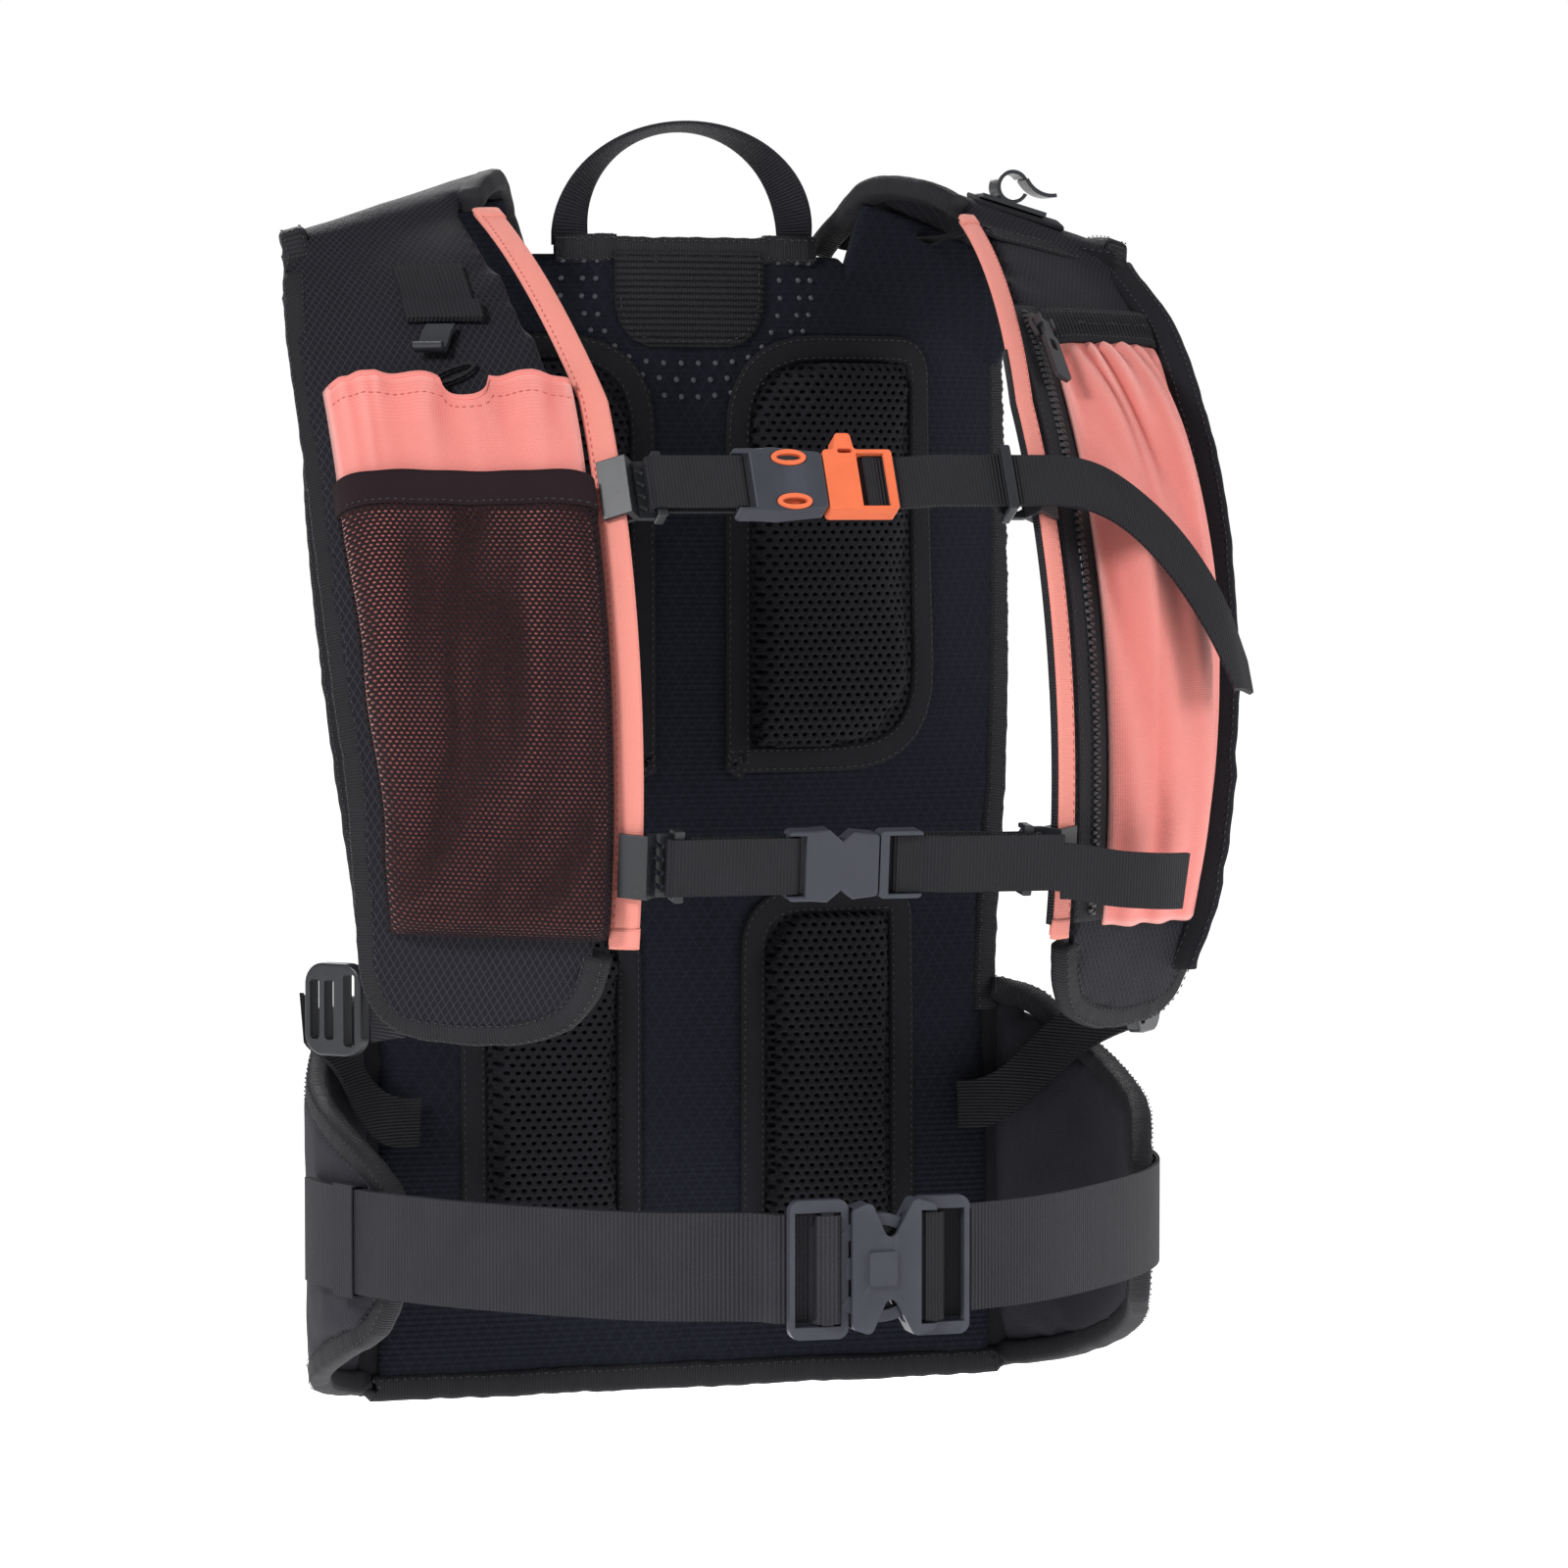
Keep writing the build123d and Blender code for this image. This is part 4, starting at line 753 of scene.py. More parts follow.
bottom_path = [Vector((x, 1.6 + 0.8 * wobble(x / 30, 2.0))) for x in range(-131, 132, 2)]
bottom_line = edge_crinkle(laid(panel_skin, bottom_path, -2.5 * MM), 0.5 * MM, 7.0)
sweep("bottom_tape", bottom_line, (10.5, 8.4), binding_tape, replaces=["bottom_binding"])
stitch(bottom_line, (-3.4,), 4.0)

UPPER_PAD = ([(14, 235), (103, 235), (103, 404), (14, 404)], [2, 42, 16, 38])
LOWER_PAD = ([(20, 38), (91, 38), (91, 190), (20, 190)], [8, 8, 12, 25])
TAPE = 10.0


def back_pad(node, corners, radii, side):
    """One spacer-mesh pad: a crowned core, a knit of real holes over it, and a taped edge."""
    outline = [Vector((side * p.x, p.y)) for p in rounded(corners, radii)]
    low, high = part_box(node)
    wide, tall = (high.x - low.x) / MM, (high.z - low.z) / MM
    core = padded_copy(node, node + "_core", pad_core, 4.0 * MM, 1.4 * MM, 4.0, 3.2 * MM,
                       scale=((wide - 15) / wide, (tall - 15) / tall), slot="spacer_mesh")
    tree = BVHTree.FromPolygons([v.co[:] for v in core.data.vertices], [p.vertices[:] for p in core.data.polygons])
    field = inset(outline, TAPE - 2.5)

    def place(u, v, lift):
        x, z = low.x + u * MM, low.z + v * MM
        hit = tree.ray_cast(Vector((x, -0.3, z)), Vector((0, 1, 0)))
        bare = panel_skin.front(x / MM, z / MM)[0] + Vector((0, -1.2 * MM, 0))
        if hit[0] is None or hit[0].y > bare.y:
            return bare + Vector((0, -lift * MM, 0))
        return hit[0] + Vector((0, -(1.1 + lift) * MM, 0))

    lattice(node + "_knit", place, wide, tall, (4.0, 3.0), (2.5, 1.9),
            lambda u, v: inside(field, low.x / MM + u, low.z / MM + v), spacer_thread, "pack",
            thick=0.9 * MM, slot="spacer_mesh")
    ring = even(inset(outline, TAPE / 2), 2.6, closed=True)
    line = laid(panel_skin, ring, 1.5 * MM, closed=True)
    sweep(node + "_tape", line, (TAPE, 2.4), plain_black, closed=True)
    stitch(line, (-3.6, 3.6), 1.3, closed=True)


for side, label in ((1, "right"), (-1, "left")):
    back_pad(f"pad_upper_{label}", *UPPER_PAD, side)
    back_pad(f"pad_lower_{label}", *LOWER_PAD, side)

# Ribbed U-shaped patch at the neck.
PATCH = rounded([(-29.5, 436), (-29.5, 399), (29.5, 399), (29.5, 436)], [1, 20, 20, 1])


def patch_point(s, t):
    z = 399.3 + t * 36
    reach = [p.x for p in even(PATCH, 0.6, closed=True) if abs(p.y - z) < 0.6]
    x = min(reach) + (max(reach) - min(reach)) * s
    centre, up = panel_skin.front(x, z)
    return centre + up * (1.5 + 0.45 * sin(2 * pi * z / 2.4)) * MM


grid("neck_patch_web", patch_point, 24, 120, binding_tape, replaces=["neck_patch"], slot="webbing", thick=0.9 * MM)
patch_edge = laid(panel_skin, even(inset(PATCH, 2.2)[8:26], 2.4), 2.0 * MM)
stitch(patch_edge, (0.0,), 0.4)

# Small raised grip dots in rows round the ribbed neck patch.
dots_points, dots_faces = [], []
for row, out in enumerate((7.0, 13.5, 20.0)):
    u_shape = [(-29 - out, 432), (-29 - out, 412), (-20 - out * 0.7, 400 - out * 0.6), (0, 400 - out),
               (20 + out * 0.7, 400 - out * 0.6), (29 + out, 412), (29 + out, 432)]
    for k, spot in enumerate(even(curve_points(u_shape, 2.0), 6.8)):
        centre, up = panel_skin.front(spot.x + (row % 2) * 1.5, spot.y)
        across = Vector((1, 0, 0))
        rise = up.cross(across).normalized()
        base = len(dots_points)
        for ring_radius, ring_lift in ((1.15, 0.4), (0.8, 1.15)):
            for i in range(8):
                a = pi * i / 4
                dots_points.append(centre + (across * cos(a) + rise * sin(a)) * ring_radius * MM + up * ring_lift * MM)
        dots_points.append(centre + up * 1.3 * MM)
        for i in range(8):
            m = (i + 1) % 8
            dots_faces.append((base + i, base + m, base + 8 + m, base + 8 + i))
            dots_faces.append((base + 8 + i, base + 8 + m, base + 16))
build("neck_dots", dots_points, dots_faces, None, rubber_dot, "pack", slot="dark_plastic")


# ---------------------------------------------------------------- shoulder straps
def strap_crease(at, normal):
    return 0.5 * wobble(at.x / 26, at.y / 40, at.z / 30)


FOOT_EDGE = [(89, 181), (91, 168), (97, 158), (108, 152.5), (120, 151), (133, 151.5), (145, 154), (152, 161),
             (156, 172), (159, 200), (162, 240), (166, 280), (168.5, 340), (167, 400), (161, 430)]
YOKE_OUTER = [(161.5, -34, 437), (158.5, -16, 437.5), (150, 8, 430), (140, 30, 412), (134, 44, 398)]
YOKE_INNER = [(96, -38, 452), (88, -24, 458.5), (76, 4, 460.5), (68, 22, 448), (62, 32, 438)]
STRAP_TAPE = (10.0, 7.6)


def mirrored_stations(stations, side):
    flip = Vector((side, 1, 1))
    return [(centre * flip, across * flip, up * flip) for centre, across, up in stations]


def free_band(points, facing, step=2.5):
    """Stations along points in metres whose flat face looks towards facing."""
    line = curve_points(points, step * MM)
    stations = []
    for k, point in enumerate(line):
        run = line[min(k + 1, len(line) - 1)] - line[max(k - 1, 0)]
        across = run.cross(facing).normalized()
        stations.append((point, across, across.cross(run).normalized()))
    return stations


JOINT_LOW = ((64, 425), (104, 408), (138, 392))
JOINT_HIGH = ((72, 8, 459), (112, 10, 447), (148, 14, 428))


def joint_point(s, t, side):
    """Cloth that joins the top of the back panel to the underside of the strap."""
    spot = curve_share([Vector((*p, 0)) for p in JOINT_LOW], s)
    start, _ = panel_skin.front(spot.x, spot.y)
    end = curve_share([Vector(p) * MM for p in JOINT_HIGH], s)
    point = (start + Vector((0, 2.5 * MM, 0))).lerp(end + Vector((0, 0, -4 * MM)), t)
    return point if side > 0 else Vector((-point.x, point.y, point.z))


def curve_share(points, s):
    """Point at a share of the way along three points' smooth curve."""
    a, b, c = points
    middle = b * 2 - (a + c) / 2
    return a * (1 - s) ** 2 + middle * (2 * s * (1 - s)) + c * s * s


for side, label in ((1, "right"), (-1, "left")):
    padded_copy(f"shoulder_strap_{label}", f"strap_fabric_{label}", ripstop, 4.0 * MM, 0.5 * MM, 1.5, 1.2 * MM,
                crease=strap_crease, slot="shell_fabric")
    edge = laid(strap_skin, even(curve_points(FOOT_EDGE, 4.0), 2.5), -3.4 * MM)
    over = free_band([Vector(p) * MM for p in YOKE_OUTER], Vector((0.35, -0.3, 1)))
    if over[0][1].dot(edge[-1][1]) < 0:
        over = [(centre, -across, up) for centre, across, up in over]
    edge = mirrored_stations(edge_crinkle(edge + over, 0.5 * MM, 11.0), side)
    sweep(f"strap_binding_{label}", edge, STRAP_TAPE, binding_tape)
    stitch(edge, (3.4, -3.4), 3.9)
    band = free_band([Vector(p) * MM for p in YOKE_INNER], Vector((0.35, -0.2, 1)))
    band = mirrored_stations(edge_crinkle(band, 0.4 * MM, 17.0), side)
    sweep(f"neck_side_binding_{label}", band, (10, 8.6), binding_tape)
    grid(f"shoulder_joint_{label}", lambda s, t: joint_point(s, t, side), 24, 16, panel_cloth,
         slot="panel_fabric", thick=4.0 * MM)


def rail_u(angle):
    """Distance of the coral band's middle from the strap's inner edge."""
    z = ARC.z + ARC_R * sin(radians(angle))
    return 3.4 + max(0.0, z - 376.0) * 0.245


def rail_stations(side, start, end, lift=0.0, shift=0.0, step=0.8):
    stations = []
    count = round((end - start) / step)
    out = Vector((cos(TURN), sin(TURN), 0))
    for k in range(count + 1):
        angle = start + (end - start) * k / count
        t = radians(angle)
        rise = Vector((0, sin(t), cos(t)))
        up = out.cross(rise).normalized()
        stations.append((on_strap(rail_u(angle) + shift, angle, lift), out, up))
    return mirrored_stations(stations, side)


for side, label in ((1, "right"), (-1, "left")):
    band = rail_stations(side, RAIL_START, RAIL_END)
    sweep(f"coral_band_{label}", band, (11.4, 3.3), coral_band,
          replaces=[f"rail_{label}"], slot="coral_fabric")
    stitch(band, (3.4,), 1.62, coral_thread)
    for end in (RAIL_START, RAIL_END - 1.2):
        fold = rail_stations(side, end - 0.3, end + 1.6, lift=0.9, step=0.4)
        sweep(f"band_fold_{label}_{'low' if end < 0 else 'top'}", fold, (11.6, 2.6), coral_band, slot="coral_fabric")
# A flat tape sewn across the top of the right strap, and the pad that the hose clip is sewn to.
strip_path = [Vector((x, 442.0 - (x - 98) * 0.16)) for x in range(98, 161, 2)]
strip = laid(strap_skin, strip_path, 0.3 * MM)
sweep("strap_strip", strip, (9.5, 1.6), plain_black)
stitch(strip, (-3.7, 3.7), 0.9)
clip_low, clip_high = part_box("hose_clip")
pad_points = []
for k in range(15):
    x = clip_low.x + (clip_high.x - clip_low.x) * (k - 1) / 12
    hit = strap_skin.tree.ray_cast(Vector((x, (clip_low.y + clip_high.y) / 2, 0.6)), Vector((0, 0, -1)))
    pad_points.append(hit[0] + Vector((0, 0, 0.4 * MM)))
clip_pad = free_band(pad_points, Vector((0.3, -0.3, 1)), 3.0)
sweep("hose_clip_pad", clip_pad, (15, 2.2), plain_black)
black_edge = rail_stations(1, RAIL_START + 1, 44, lift=-1.0, shift=-6.4)
sweep("band_edge_right", black_edge, (2.6, 2.4), binding_tape)

# ---------------------------------------------------------------- left strap: flask pocket and mesh pocket
OUTER_U = ((170, 92.0), (220, 97.5), (280, 105.0), (340, 110.0), (400, 110.5))


def pouch_u(s, angle, inner=POUCH_IN):
    z = ARC.z + ARC_R * sin(radians(angle))
    return inner + s * (between(OUTER_U, z) - inner)


def crown(s, power=8):
    """1 over the middle, falling to 0 at both edges."""
    return sqrt(max(0.0, 1 - abs(2 * s - 1) ** power))


FLASK_TOP, MESH_TOP = arc_angle(FLASK_TOP_Z), arc_angle(MESH_TOP_Z)


def flask_point(s, t):
    angle = POUCH_LOW + t * (FLASK_TOP - POUCH_LOW)
    u = pouch_u(s, angle)
    if t > 0.9:
        notch = max(0.0, 1 - ((u - HOOK_U) / 9.6) ** 2)
        angle -= 2.5 * sqrt(notch) * (t - 0.9) / 0.1
    full = min(1.0, t / 0.07)
    top = max(0.0, t - 0.72) / 0.28
    lift = 1.0 + 11.0 * crown(s) * sqrt(full)
    lift += 1.5 * top * sin(2 * pi * (4.6 * s + 0.35 * t)) * crown(s, 4)
    lift += 0.8 * top * wobble(u / 7, angle / 5, 3.0) - 1.6 * top * max(0.0, 1 - ((u - HOOK_U) / 26) ** 2)
    pucker = max(0.0, (s - 0.8) / 0.2)
    lift += 1.1 * pucker * top * sin(2 * pi * 14 * s)
    lift += 1.2 * wobble(u / 19, angle / 9, 8.0) * full
    return on_strap(u, angle, lift, -1)


# The flask pocket's cloth carries painted shade in its fold valleys and painted highlights on its ridges.
grid("flask_pocket_cloth", flask_point, 96, 90, coral_fold,
     replaces=["flask_pocket"], slot="coral_fabric", thick=0.9 * MM)


def edge_stations(point, t, count=90, low=0.02, high=0.98):
    """Stations across a sheet at one height, for hems and stitches."""
    stations = []
    for k in range(count + 1):
        s = low + (high - low) * k / count
        here = point(s, t)
        run = point(min(1.0, s + 0.004), t) - point(max(0.0, s - 0.004), t)
        rise = (point(s, min(1.0, t + 0.01)) - point(s, t - 0.01)).normalized()
        up = run.cross(rise).normalized()
        if up.y > 0:
            up = -up
        stations.append((here, rise, up))
    return stations


hem = edge_stations(flask_point, 0.996)
sweep("flask_pocket_hem", [(c - r * 0.4 * MM, r, n) for c, r, n in hem], (2.6, 2.2), coral_cloth, slot="coral_fabric")
stitch(edge_stations(flask_point, 0.955), (0.0,), 0.6, coral_thread)


def mesh_point(s, t, extra=0.0):
    angle = POUCH_LOW + t * (MESH_TOP - POUCH_LOW)
    u = pouch_u(s, angle, POUCH_IN - 1.0)
    full = min(1.0, t / 0.05)
    lift = 1.6 + 13.4 * crown(s, 10) * sqrt(full)
    fold = sin(2 * pi * (1.6 * s + 1.25 * t + 0.22 * sin(5 * t))) ** 3
    lift += 1.1 * fold * crown(s, 6) * full + 0.3 * wobble(u / 13, angle / 6, 21.0) * full
    return on_strap(u - 1.0 + 3.4 * s, angle, lift + extra, -1)


MESH_WIDE, MESH_TALL = 96.0, 158.0
HEM_SHARE = 0.925
lattice("mesh_pocket_net",
        lambda u, v, lift: mesh_point(min(1, max(0, u / MESH_WIDE)), min(1, max(0, v / MESH_TALL)), lift),
        MESH_WIDE, MESH_TALL * (HEM_SHARE + 0.01), (2.35, 1.42), (1.55, 0.88), lambda u, v: True, mesh_thread, "pack",
        replaces=["mesh_pocket"], slot="pocket_mesh", thick=0.35 * MM)
grid("mesh_pocket_hem", lambda s, t: mesh_point(s, HEM_SHARE + t * (1 - HEM_SHARE), 0.5), 80, 8,
     mesh_thread, slot="pocket_mesh", thick=1.3 * MM)
stitch(edge_stations(mesh_point, HEM_SHARE + 0.008), (0.0,), 1.3)

# ---------------------------------------------------------------- right strap: zipper and zip pocket
POCKET_IN, POCKET_OUT = 33.6, 114.0
POCKET_LOW, POCKET_TOP = -13.5, 44.8
POCKET_TAPER = ((0.0, 0.86), (0.35, 0.96), (1.0, 1.0))     # share of its width, up its height
BULGE_LOW = ((33.6, 2.4), (58, 5), (90, 6), (114, 2))
BULGE_MID = ((33.6, 9), (58, 23), (92, 32), (104, 24), (114, 10))
BULGE_TOP = ((33.6, 2), (58, 2.6), (90, 2.6), (114, 2))


def zip_pocket_point(s, t):
    u = POCKET_IN + s * (POCKET_OUT - POCKET_IN)
    u = POCKET_IN + (u - POCKET_IN) * between(POCKET_TAPER, t)
    angle = POCKET_LOW + t * (POCKET_TOP - POCKET_LOW)
    low, mid, top = between(BULGE_LOW, u), between(BULGE_MID, u), between(BULGE_TOP, u)
    a, b, c = POCKET_LOW, 14.0, POCKET_TOP
    lift = low * (angle - b) * (angle - c) / ((a - b) * (a - c))
    lift += mid * (angle - a) * (angle - c) / ((b - a) * (b - c))
    lift += top * (angle - a) * (angle - b) / ((c - a) * (c - b))
    full = crown(s, 5)
    lift = 0.6 + lift * full
    turn = 2 * pi * (1.7 * s + 1.5 * t ** 1.5 + 0.1 * sin(4.0 * t + 1.0))
    lift += (3.0 * sin(turn) + 1.3 * sin(2 * turn + 0.7)) * full * sin(pi * min(1.0, t)) ** 0.7
    gather = max(0.0, (t - 0.58) / 0.42)
    tucked = min(1.0, max(0.0, (1.0 - t) / 0.035))
    ripple = sin(2 * pi * (6.5 * s + 2.2 * t + 0.9 * wobble(s * 3, t * 2, 2.0)))
    lift += 3.0 * gather ** 1.3 * ripple * full * (0.65 + 0.35 * wobble(s * 9, 5.0)) * tucked
    foot = max(0.0, (0.24 - t) / 0.24)
    lift += 1.5 * foot * sin(2 * pi * (3.2 * s + 0.5 + 0.5 * t)) * full
    lift += 1.5 * wobble(u / 24, angle / 12, 31.0) * full
    return on_strap(u, angle, lift)


# The zip pocket's cloth carries painted shade in its fold valleys and painted highlights on its ridges.
grid("zip_pocket_cloth", zip_pocket_point, 110, 130, coral_fold,
     replaces=["zip_pocket"], slot="coral_fabric", thick=0.9 * MM)


# The right strap's wide padded edge, which rolls forward outside the pocket.
EDGE_ROLL = ((168.0, 152.0), (200, 160.0), (240, 164.5), (280, 168.5), (340, 171.5), (400, 169.5), (428, 163.0))
ROLL_STEPS = 90
roll = []
for k in range(ROLL_STEPS):
    z = EDGE_ROLL[0][0] + (EDGE_ROLL[-1][0] - EDGE_ROLL[0][0]) * k / (ROLL_STEPS - 1)
    angle = arc_angle(z)
    t = radians(angle)
    near_end = min(1.0, k / 14, (ROLL_STEPS - 1 - k) / 14)
    centre = on_strap((between(EDGE_ROLL, z) - RAIL_X) / cos(TURN), angle, 1.0 + 5.5 * near_end)
    rise = Vector((0, sin(t), cos(t)))
    across = Vector((0.93, -0.25, 0.1)).cross(rise).cross(rise).normalized() * -1
    roll.append((centre, across, across.cross(rise).normalized()))
roll = edge_crinkle(roll, 0.8 * MM, 31.0)
sweep("strap_edge_roll", roll, (12, 7), plain_black)
stitch(roll, (-3.4, 3.4), 3.6)


def elastic_point(s, t):
    u = POCKET_IN + 0.5 + s * (112.0 - POCKET_IN)
    angle = 44.0 + t * 4.8
    lift = 1.6 + 3.8 * crown(s, 6) * (1 - 0.3 * t) + 0.45 * sin(2 * pi * 30 * s) * sin(pi * t) + 0.6 * sin(pi * t)
    return on_strap(u, angle, lift)


grid("pocket_top_band", elastic_point, 180, 10, plain_black, replaces=["pocket_elastic"],
     slot="shell_fabric", thick=1.6 * MM)
for share in (0.14, 0.5, 0.86):
    stitch(edge_stations(elastic_point, share), (0.0,), 0.9)


def tape_point(s, t):
    return on_strap(12.2 + s * 21.0, -13 + 63 * t, 0.8 + 0.25 * sin(pi * s) + 0.15 * wobble(s * 4, t * 30, 2.0))


grid("zipper_tape_cloth", tape_point, 12, 110, binding_tape, replaces=["zipper_tape"], slot="zipper", thick=0.7 * MM)
tape_line = [(tape_point(0.12, k / 60), Vector((cos(TURN), sin(TURN), 0)), Vector((0, -1, 0))) for k in range(61)]
stitch(tape_line, (0.0,), 0.5)


def block(points, faces, centre, along, across, up, size, taper=0.75):
    """Add a small bevelled block with a narrower top."""
    base = len(points)
    a, b, c = size
    for level, share in ((-1, 1.0), (0.3, 1.0), (1, taper)):
        for sa, sb in ((-1, -1), (1, -1), (1, 1), (-1, 1)):
            points.append(centre + along * sa * a / 2 * share + across * sb * b / 2 * share + up * level * c / 2)
    for low in (0, 4):
        for k in range(4):
            m = (k + 1) % 4
            faces.append((base + low + k, base + low + m, base + low + 4 + m, base + low + 4 + k))
    faces.append((base + 8, base + 9, base + 10, base + 11))
    faces.append((base + 3, base + 2, base + 1, base))


def teeth(name, place, count, body, replaces, slot):
    """Two rows of interlocking moulded teeth; place(k) gives centre, along, across, up."""
    points, faces = [], []
    for k in range(count):
        centre, along, across, up = place(k)
        row = 1 if k % 2 else -1
        block(points, faces, centre + across * row * 0.8 * MM, along, across, up, (1.25 * MM, 2.6 * MM, 1.7 * MM))
        block(points, faces, centre + across * row * 1.8 * MM, along, across, up, (1.7 * MM, 1.1 * MM, 1.4 * MM))
    piece = build(name, points, faces, None, zip_plastic, body, replaces=replaces, slot=slot)
    piece.data.polygons.foreach_set("use_smooth", [False] * len(piece.data.polygons))
    return piece


FRONT_TEETH, FIRST_TOOTH, TOOTH_STEP = 170, -12.2, 0.36      # count, then degrees on the strap's arc


def front_tooth(k):
    angle = FIRST_TOOTH + k * TOOTH_STEP
    t = radians(angle)
    out, rise = Vector((cos(TURN), sin(TURN), 0)), Vector((0, sin(t), cos(t)))
    up = out.cross(rise).normalized()
    return on_strap(ZIP_U, angle, 2.0), rise, up.cross(rise).normalized(), up


teeth("zipper_teeth", front_tooth, FRONT_TEETH, "pack", ["zipper_chain"], "zipper")

# ---------------------------------------------------------------- haul handle
HANDLE_FOOT = JOINTS["handle_fold"]["pos_m"][2]
handle_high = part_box("haul_handle")[1]
HANDLE_HALF, HANDLE_RISE = 0.045, handle_high.z - HANDLE_FOOT - 2.5 * MM
handle_stations = []
for step in range(49):
    swing = radians(180 - 180 * step / 48)
    twist = radians(78) * sin(radians(180 * step / 48))
    centre = Vector((HANDLE_HALF * cos(swing), 0.010 - 0.003 * sin(swing), HANDLE_FOOT + HANDLE_RISE * sin(swing)))
    along = Vector((HANDLE_HALF * sin(swing), 0, -HANDLE_RISE * cos(swing))).normalized()
    flat = Vector((0, 1, 0)).cross(along)
    across = (flat * cos(twist) + Vector((0, 1, 0)) * sin(twist)).normalized()
    handle_stations.append((centre, across, across.cross(along).normalized()))
for at, end in ((0, handle_stations[0]), (len(handle_stations) + 1, handle_stations[-1])):
    handle_stations.insert(at, (end[0] - Vector((0, 0, 5 * MM)), end[1], end[2]))
sweep("handle_webbing", handle_stations, (14.5, 1.7), web_run, "handle", replaces=["haul_handle"])

# ---------------------------------------------------------------- bag, rear zipper and hip wings


def bag_crease(at, normal):
    """Slack wrinkles of the bag's back, stronger low down."""
    if normal.y < 0:
        return 0.0
    low = max(0.0, 1 - at.z / 300)
    return 1.6 * wobble(at.x / 30, at.z / 55, 41.0) + 1.6 * low * sin(at.x / 11 + 1.5 * wobble(at.z / 40, 3.0))


padded_copy("main_bag", "bag_fabric", bag_ripstop, 6.0 * MM, 1.5 * MM, 3.0, 5.0 * MM, outer_only=True,
            crease=bag_crease, slot="shell_fabric")


def wing_crease(at, normal):
    return 0.6 * wobble(at.y / 16, at.z / 14, 51.0 + at.x / 200)


def meet_panel(at):
    """Draw the wing's rear end in to the edge of the back panel, where it is sewn on."""
    near = min(1.0, max(0.0, (at.y + 26) / 36))
    return at - Vector((copysign(9.0, at.x) * near * near, 0, 0))


WING_EDGE = [(125, 6, 148), (131, 4, 147), (141, -4, 143), (150, -20, 131), (156.5, -45, 119), (155, -78, 108.5),
             (147, -103, 96), (143, -113.5, 86), (142, -116, 73), (143, -113.5, 60), (147, -101, 42), (154, -78, 31),
             (156.5, -48, 19.5), (150, -20, 10), (140, -4, 5.5), (131, 4, 4), (124, 6, 2.5)]

for side, label in ((1, "right"), (-1, "left")):
    padded_copy(f"hip_wing_{label}", f"wing_fabric_{label}", grey_cloth, 4.0 * MM, 0.8 * MM, 3.0, 2.5 * MM,
                crease=wing_crease, slot="shell_fabric", reshape=meet_panel)
    edge = free_band([Vector(p) * MM for p in WING_EDGE], Vector((1, -0.15, 0)))
    edge = mirrored_stations(edge_crinkle(edge, 0.4 * MM, 23.0), side)
    sweep(f"wing_binding_{label}", edge, (9.5, 8.4), binding_tape)
    stitch(edge, (3.2, -3.2), 4.3)

for side, label in ((1, "right"), (-1, "left")):
    seam = []
    for z in range(3, 149, 3):
        face, _ = panel_skin.front(side * 121, z)
        spot = Vector((side * 126.5 * MM, face.y + 5.5 * MM, z * MM))
        seam.append((spot, Vector((side, 0, 0)), Vector((0, -1, 0))))
    seam = edge_crinkle(seam, 0.5 * MM, 29.0)
    sweep(f"wing_seam_{label}", seam, (15, 7), plain_black, slot="panel_fabric")

REAR = Vector(JOINTS["rear_zip_travel"]["pos_m"])
REAR_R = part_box("rear_zipper")[1].y - REAR.y - 5.4 * MM
REAR_HALF = 31         # degrees of tape each side of the bag's middle


def rear_at(degrees_out, height, out):
    a = radians(degrees_out)
    return REAR + Vector((sin(a) * (REAR_R + out), cos(a) * (REAR_R + out), height))


grid("rear_zip_tape", lambda s, t: rear_at(-REAR_HALF + 2 * REAR_HALF * s, (t - 0.5) * 24 * MM, 3.4 * MM),
     120, 12, binding_tape, slot="zipper", thick=1.0 * MM)


def rear_tooth(k):
    angle = -30 + k * 0.44
    a = radians(angle)
    return rear_at(angle, 0, 4.6 * MM), Vector((cos(a), -sin(a), 0)), Vector((0, 0, 1)), Vector((sin(a), cos(a), 0))


teeth("rear_zip_teeth", rear_tooth, 137, "pack", ["rear_zipper"], "zipper")
for height in (-9.5 * MM, 9.5 * MM):
    rows = []
    for k in range(81):
        turn = -REAR_HALF + 2 * REAR_HALF * k / 80
        outward = rear_at(turn, 0, 1) - rear_at(turn, 0, 0)
        rows.append((rear_at(turn, height, 3.6 * MM), Vector((0, 0, 1)), outward))
    stitch(rows, (0.0,), 0.5)

# ---------------------------------------------------------------- CAD pieces that keep their shape
KEPT = {
    "web_x": ["upper_webbing_left", "lower_webbing_left", "lower_webbing_right", "lower_tail", "whistle_webbing",
              "hip_loop", "hook_tab"],
    "web_belt": ["hip_webbing_left", "hip_webbing_right", "belt_keeper"],
    "web_z": ["strap_tabs", "adjuster_webbings", "elastic_ring"],
    "moulded_dark": ["upper_buckle_female", "lower_buckle_female", "ladder_buckle", "hip_buckle_male",
                     "hip_buckle_female"],
    "gloss_plastic": ["upper_clip_left", "upper_clip_right", "lower_clip_left", "lower_clip_right",
                      "tether_hook", "hose_clip", "ladder_lock_left", "ladder_lock_right", "frame_sheet",
                      "reservoir_closure", "reservoir_hanger", "reservoir"],
    "moulded_orange": ["whistle_buckle", "buckle_rings"],
    "zip_plastic": ["zipper_slider", "zipper_pull", "rear_zip_slider", "rear_zip_pull"],
}
for material_name, nodes in KEPT.items():
    for node in nodes:
        mesh = frame["nodes"][node].data
        mesh.materials.clear()
        mesh.materials.append(bpy.data.materials[material_name])

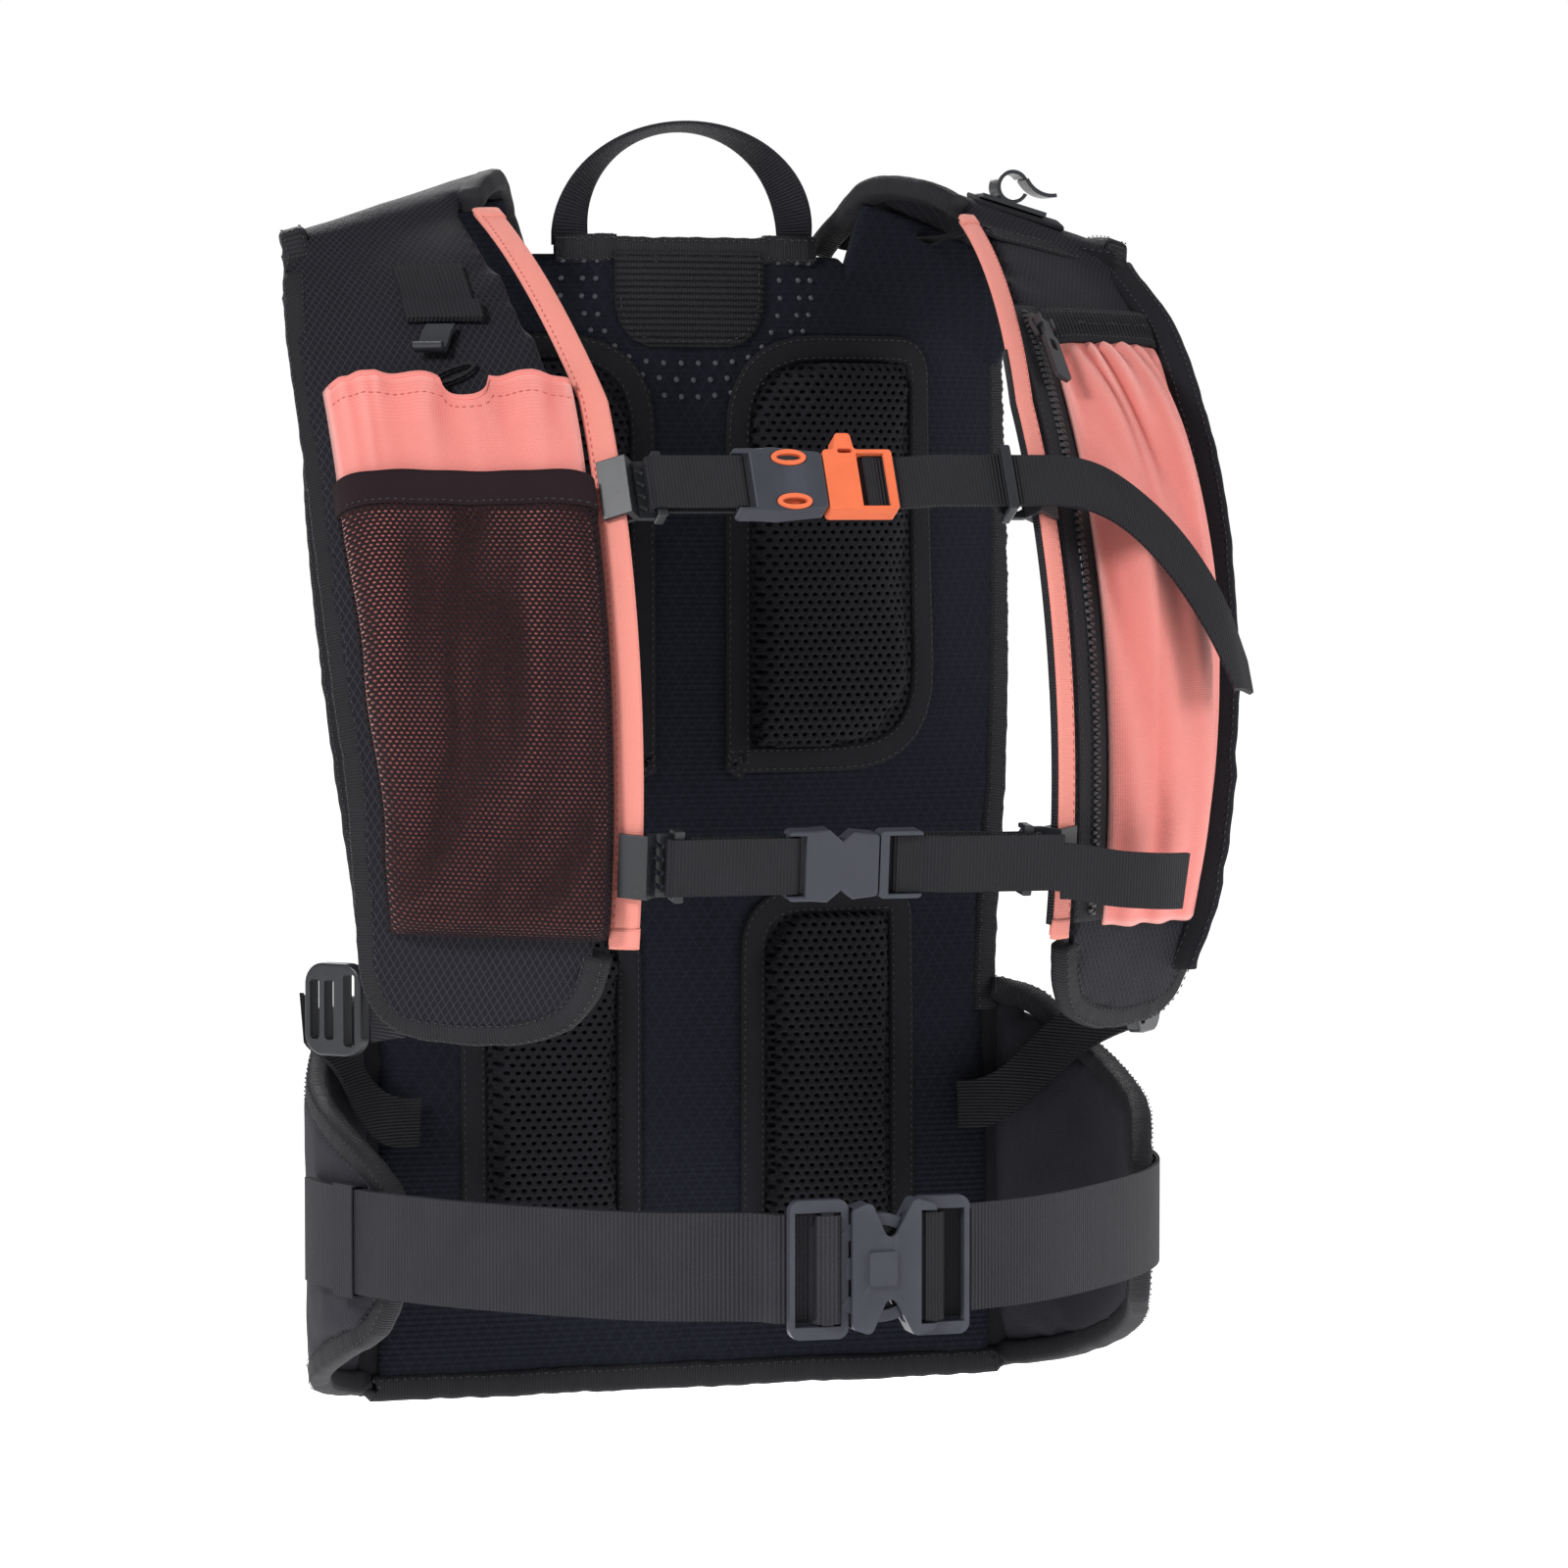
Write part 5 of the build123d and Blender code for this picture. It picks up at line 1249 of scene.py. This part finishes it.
# ---------------------------------------------------------------- thread
for thread, (points, faces) in sorted(stitches.items()):
    build(f"stitches_pack_{thread}", points, faces, None, bpy.data.materials[thread], "pack", slot="webbing")

# ---------------------------------------------------------------- sheets, with the size each was cut to, in metres
SHEETS = (
    ("flask_pocket_cloth", (0.122, 0.210), 0.0214, "stretched", "strap_fabric_left", ["flask_pocket_hem"]),
    ("mesh_pocket_net", (0.118, 0.165), 0.0165, "stretched", "flask_pocket_cloth", ["mesh_pocket_hem"]),
    ("zip_pocket_cloth", (0.110, 0.256), 0.0222, "gathered", "strap_fabric_right", []),
    ("pocket_top_band", (0.096, 0.0195), 0.00155, "stretched", "strap_fabric_right", []),
    ("zipper_tape_cloth", (0.0214, 0.248), 0.0051, "stretched", "strap_fabric_right", []),
    ("rear_zip_tape", (0.204, 0.024), None, "stretched", "bag_fabric", []),
    ("shoulder_joint_right", (0.089, 0.040), 0.0032, "stretched", "panel_fabric", []),
    ("shoulder_joint_left", (0.089, 0.040), 0.0032, "stretched", "panel_fabric", []),
    ("neck_patch_web", (0.060, 0.047), 0.0026, "stretched", "panel_fabric", []),
)
for name, flat, area, held, under, others in SHEETS:
    [bpy.data.objects[other] for other in others]

# ---------------------------------------------------------------- floor, light and camera
FLOOR_DROP = 0.30      # the pack hangs this far above the floor, as if worn
AMBIENT, BACKDROP = 0.4, 1.0


def floor():
    bpy.ops.mesh.primitive_plane_add(size=30, location=(0, 0, cad_low.z - FLOOR_DROP))
    plane = bpy.context.object
    plane.name = "floor"
    shader = Shader("floor_white", 0.9, Emission_Color=(1, 1, 1, 1), Emission_Strength=0.8)
    shader.colour(shader.mix(shader.noise(2.0), (0.93, 0.93, 0.93, 1), (0.96, 0.96, 0.96, 1)))
    plane.data.materials.append(shader.material)


def area_light(name, place, target, size, power):
    data = bpy.data.lights.new(name, "AREA")
    data.shape = "DISK"
    data.size = size
    data.energy = power
    lamp = bpy.data.objects.new(name, data)
    lamp.location = place
    lamp.rotation_euler = (Vector(target) - Vector(place)).to_track_quat("-Z", "Y").to_euler()
    SCENE.collection.objects.link(lamp)


floor()
world = bpy.data.worlds.new("studio")
world.use_nodes = True
sky = world.node_tree.nodes["Background"]
sky.inputs[0].default_value = (1, 1, 1, 1)
seen = world.node_tree.nodes.new("ShaderNodeLightPath")
level = world.node_tree.nodes.new("ShaderNodeMapRange")
level.inputs["To Min"].default_value = AMBIENT
level.inputs["To Max"].default_value = BACKDROP
world.node_tree.links.new(seen.outputs["Is Camera Ray"], level.inputs["Value"])
world.node_tree.links.new(level.outputs["Result"], sky.inputs[1])
SCENE.world = world
SCENE.view_settings.view_transform = "Standard"
middle = (cad_low + cad_high) / 2
area_light("key", (-1.7, -1.2, 1.5), middle, 0.6, 44)
area_light("fill", (1.7, -1.0, 0.9), middle, 1.0, 22)
area_light("back", (0.2, 1.8, 1.4), middle, 1.2, 22)

CAMERA_AZIMUTH, CAMERA_HEIGHT, CAMERA_DISTANCE = radians(-17.0), radians(3.0), 2.2
CAMERA_LENS, CAMERA_AIM = 130.95, Vector((0.0347, -0.0106, 0.231))
camera_data = bpy.data.cameras.new("camera")
camera_data.lens = CAMERA_LENS
camera = bpy.data.objects.new("camera", camera_data)
level_back = cos(CAMERA_HEIGHT)
back = Vector((sin(CAMERA_AZIMUTH) * level_back, -cos(CAMERA_AZIMUTH) * level_back, sin(CAMERA_HEIGHT)))
camera.location = CAMERA_AIM + back * CAMERA_DISTANCE
camera.rotation_euler = (-back).to_track_quat("-Z", "Y").to_euler()
SCENE.collection.objects.link(camera)
SCENE.camera = camera
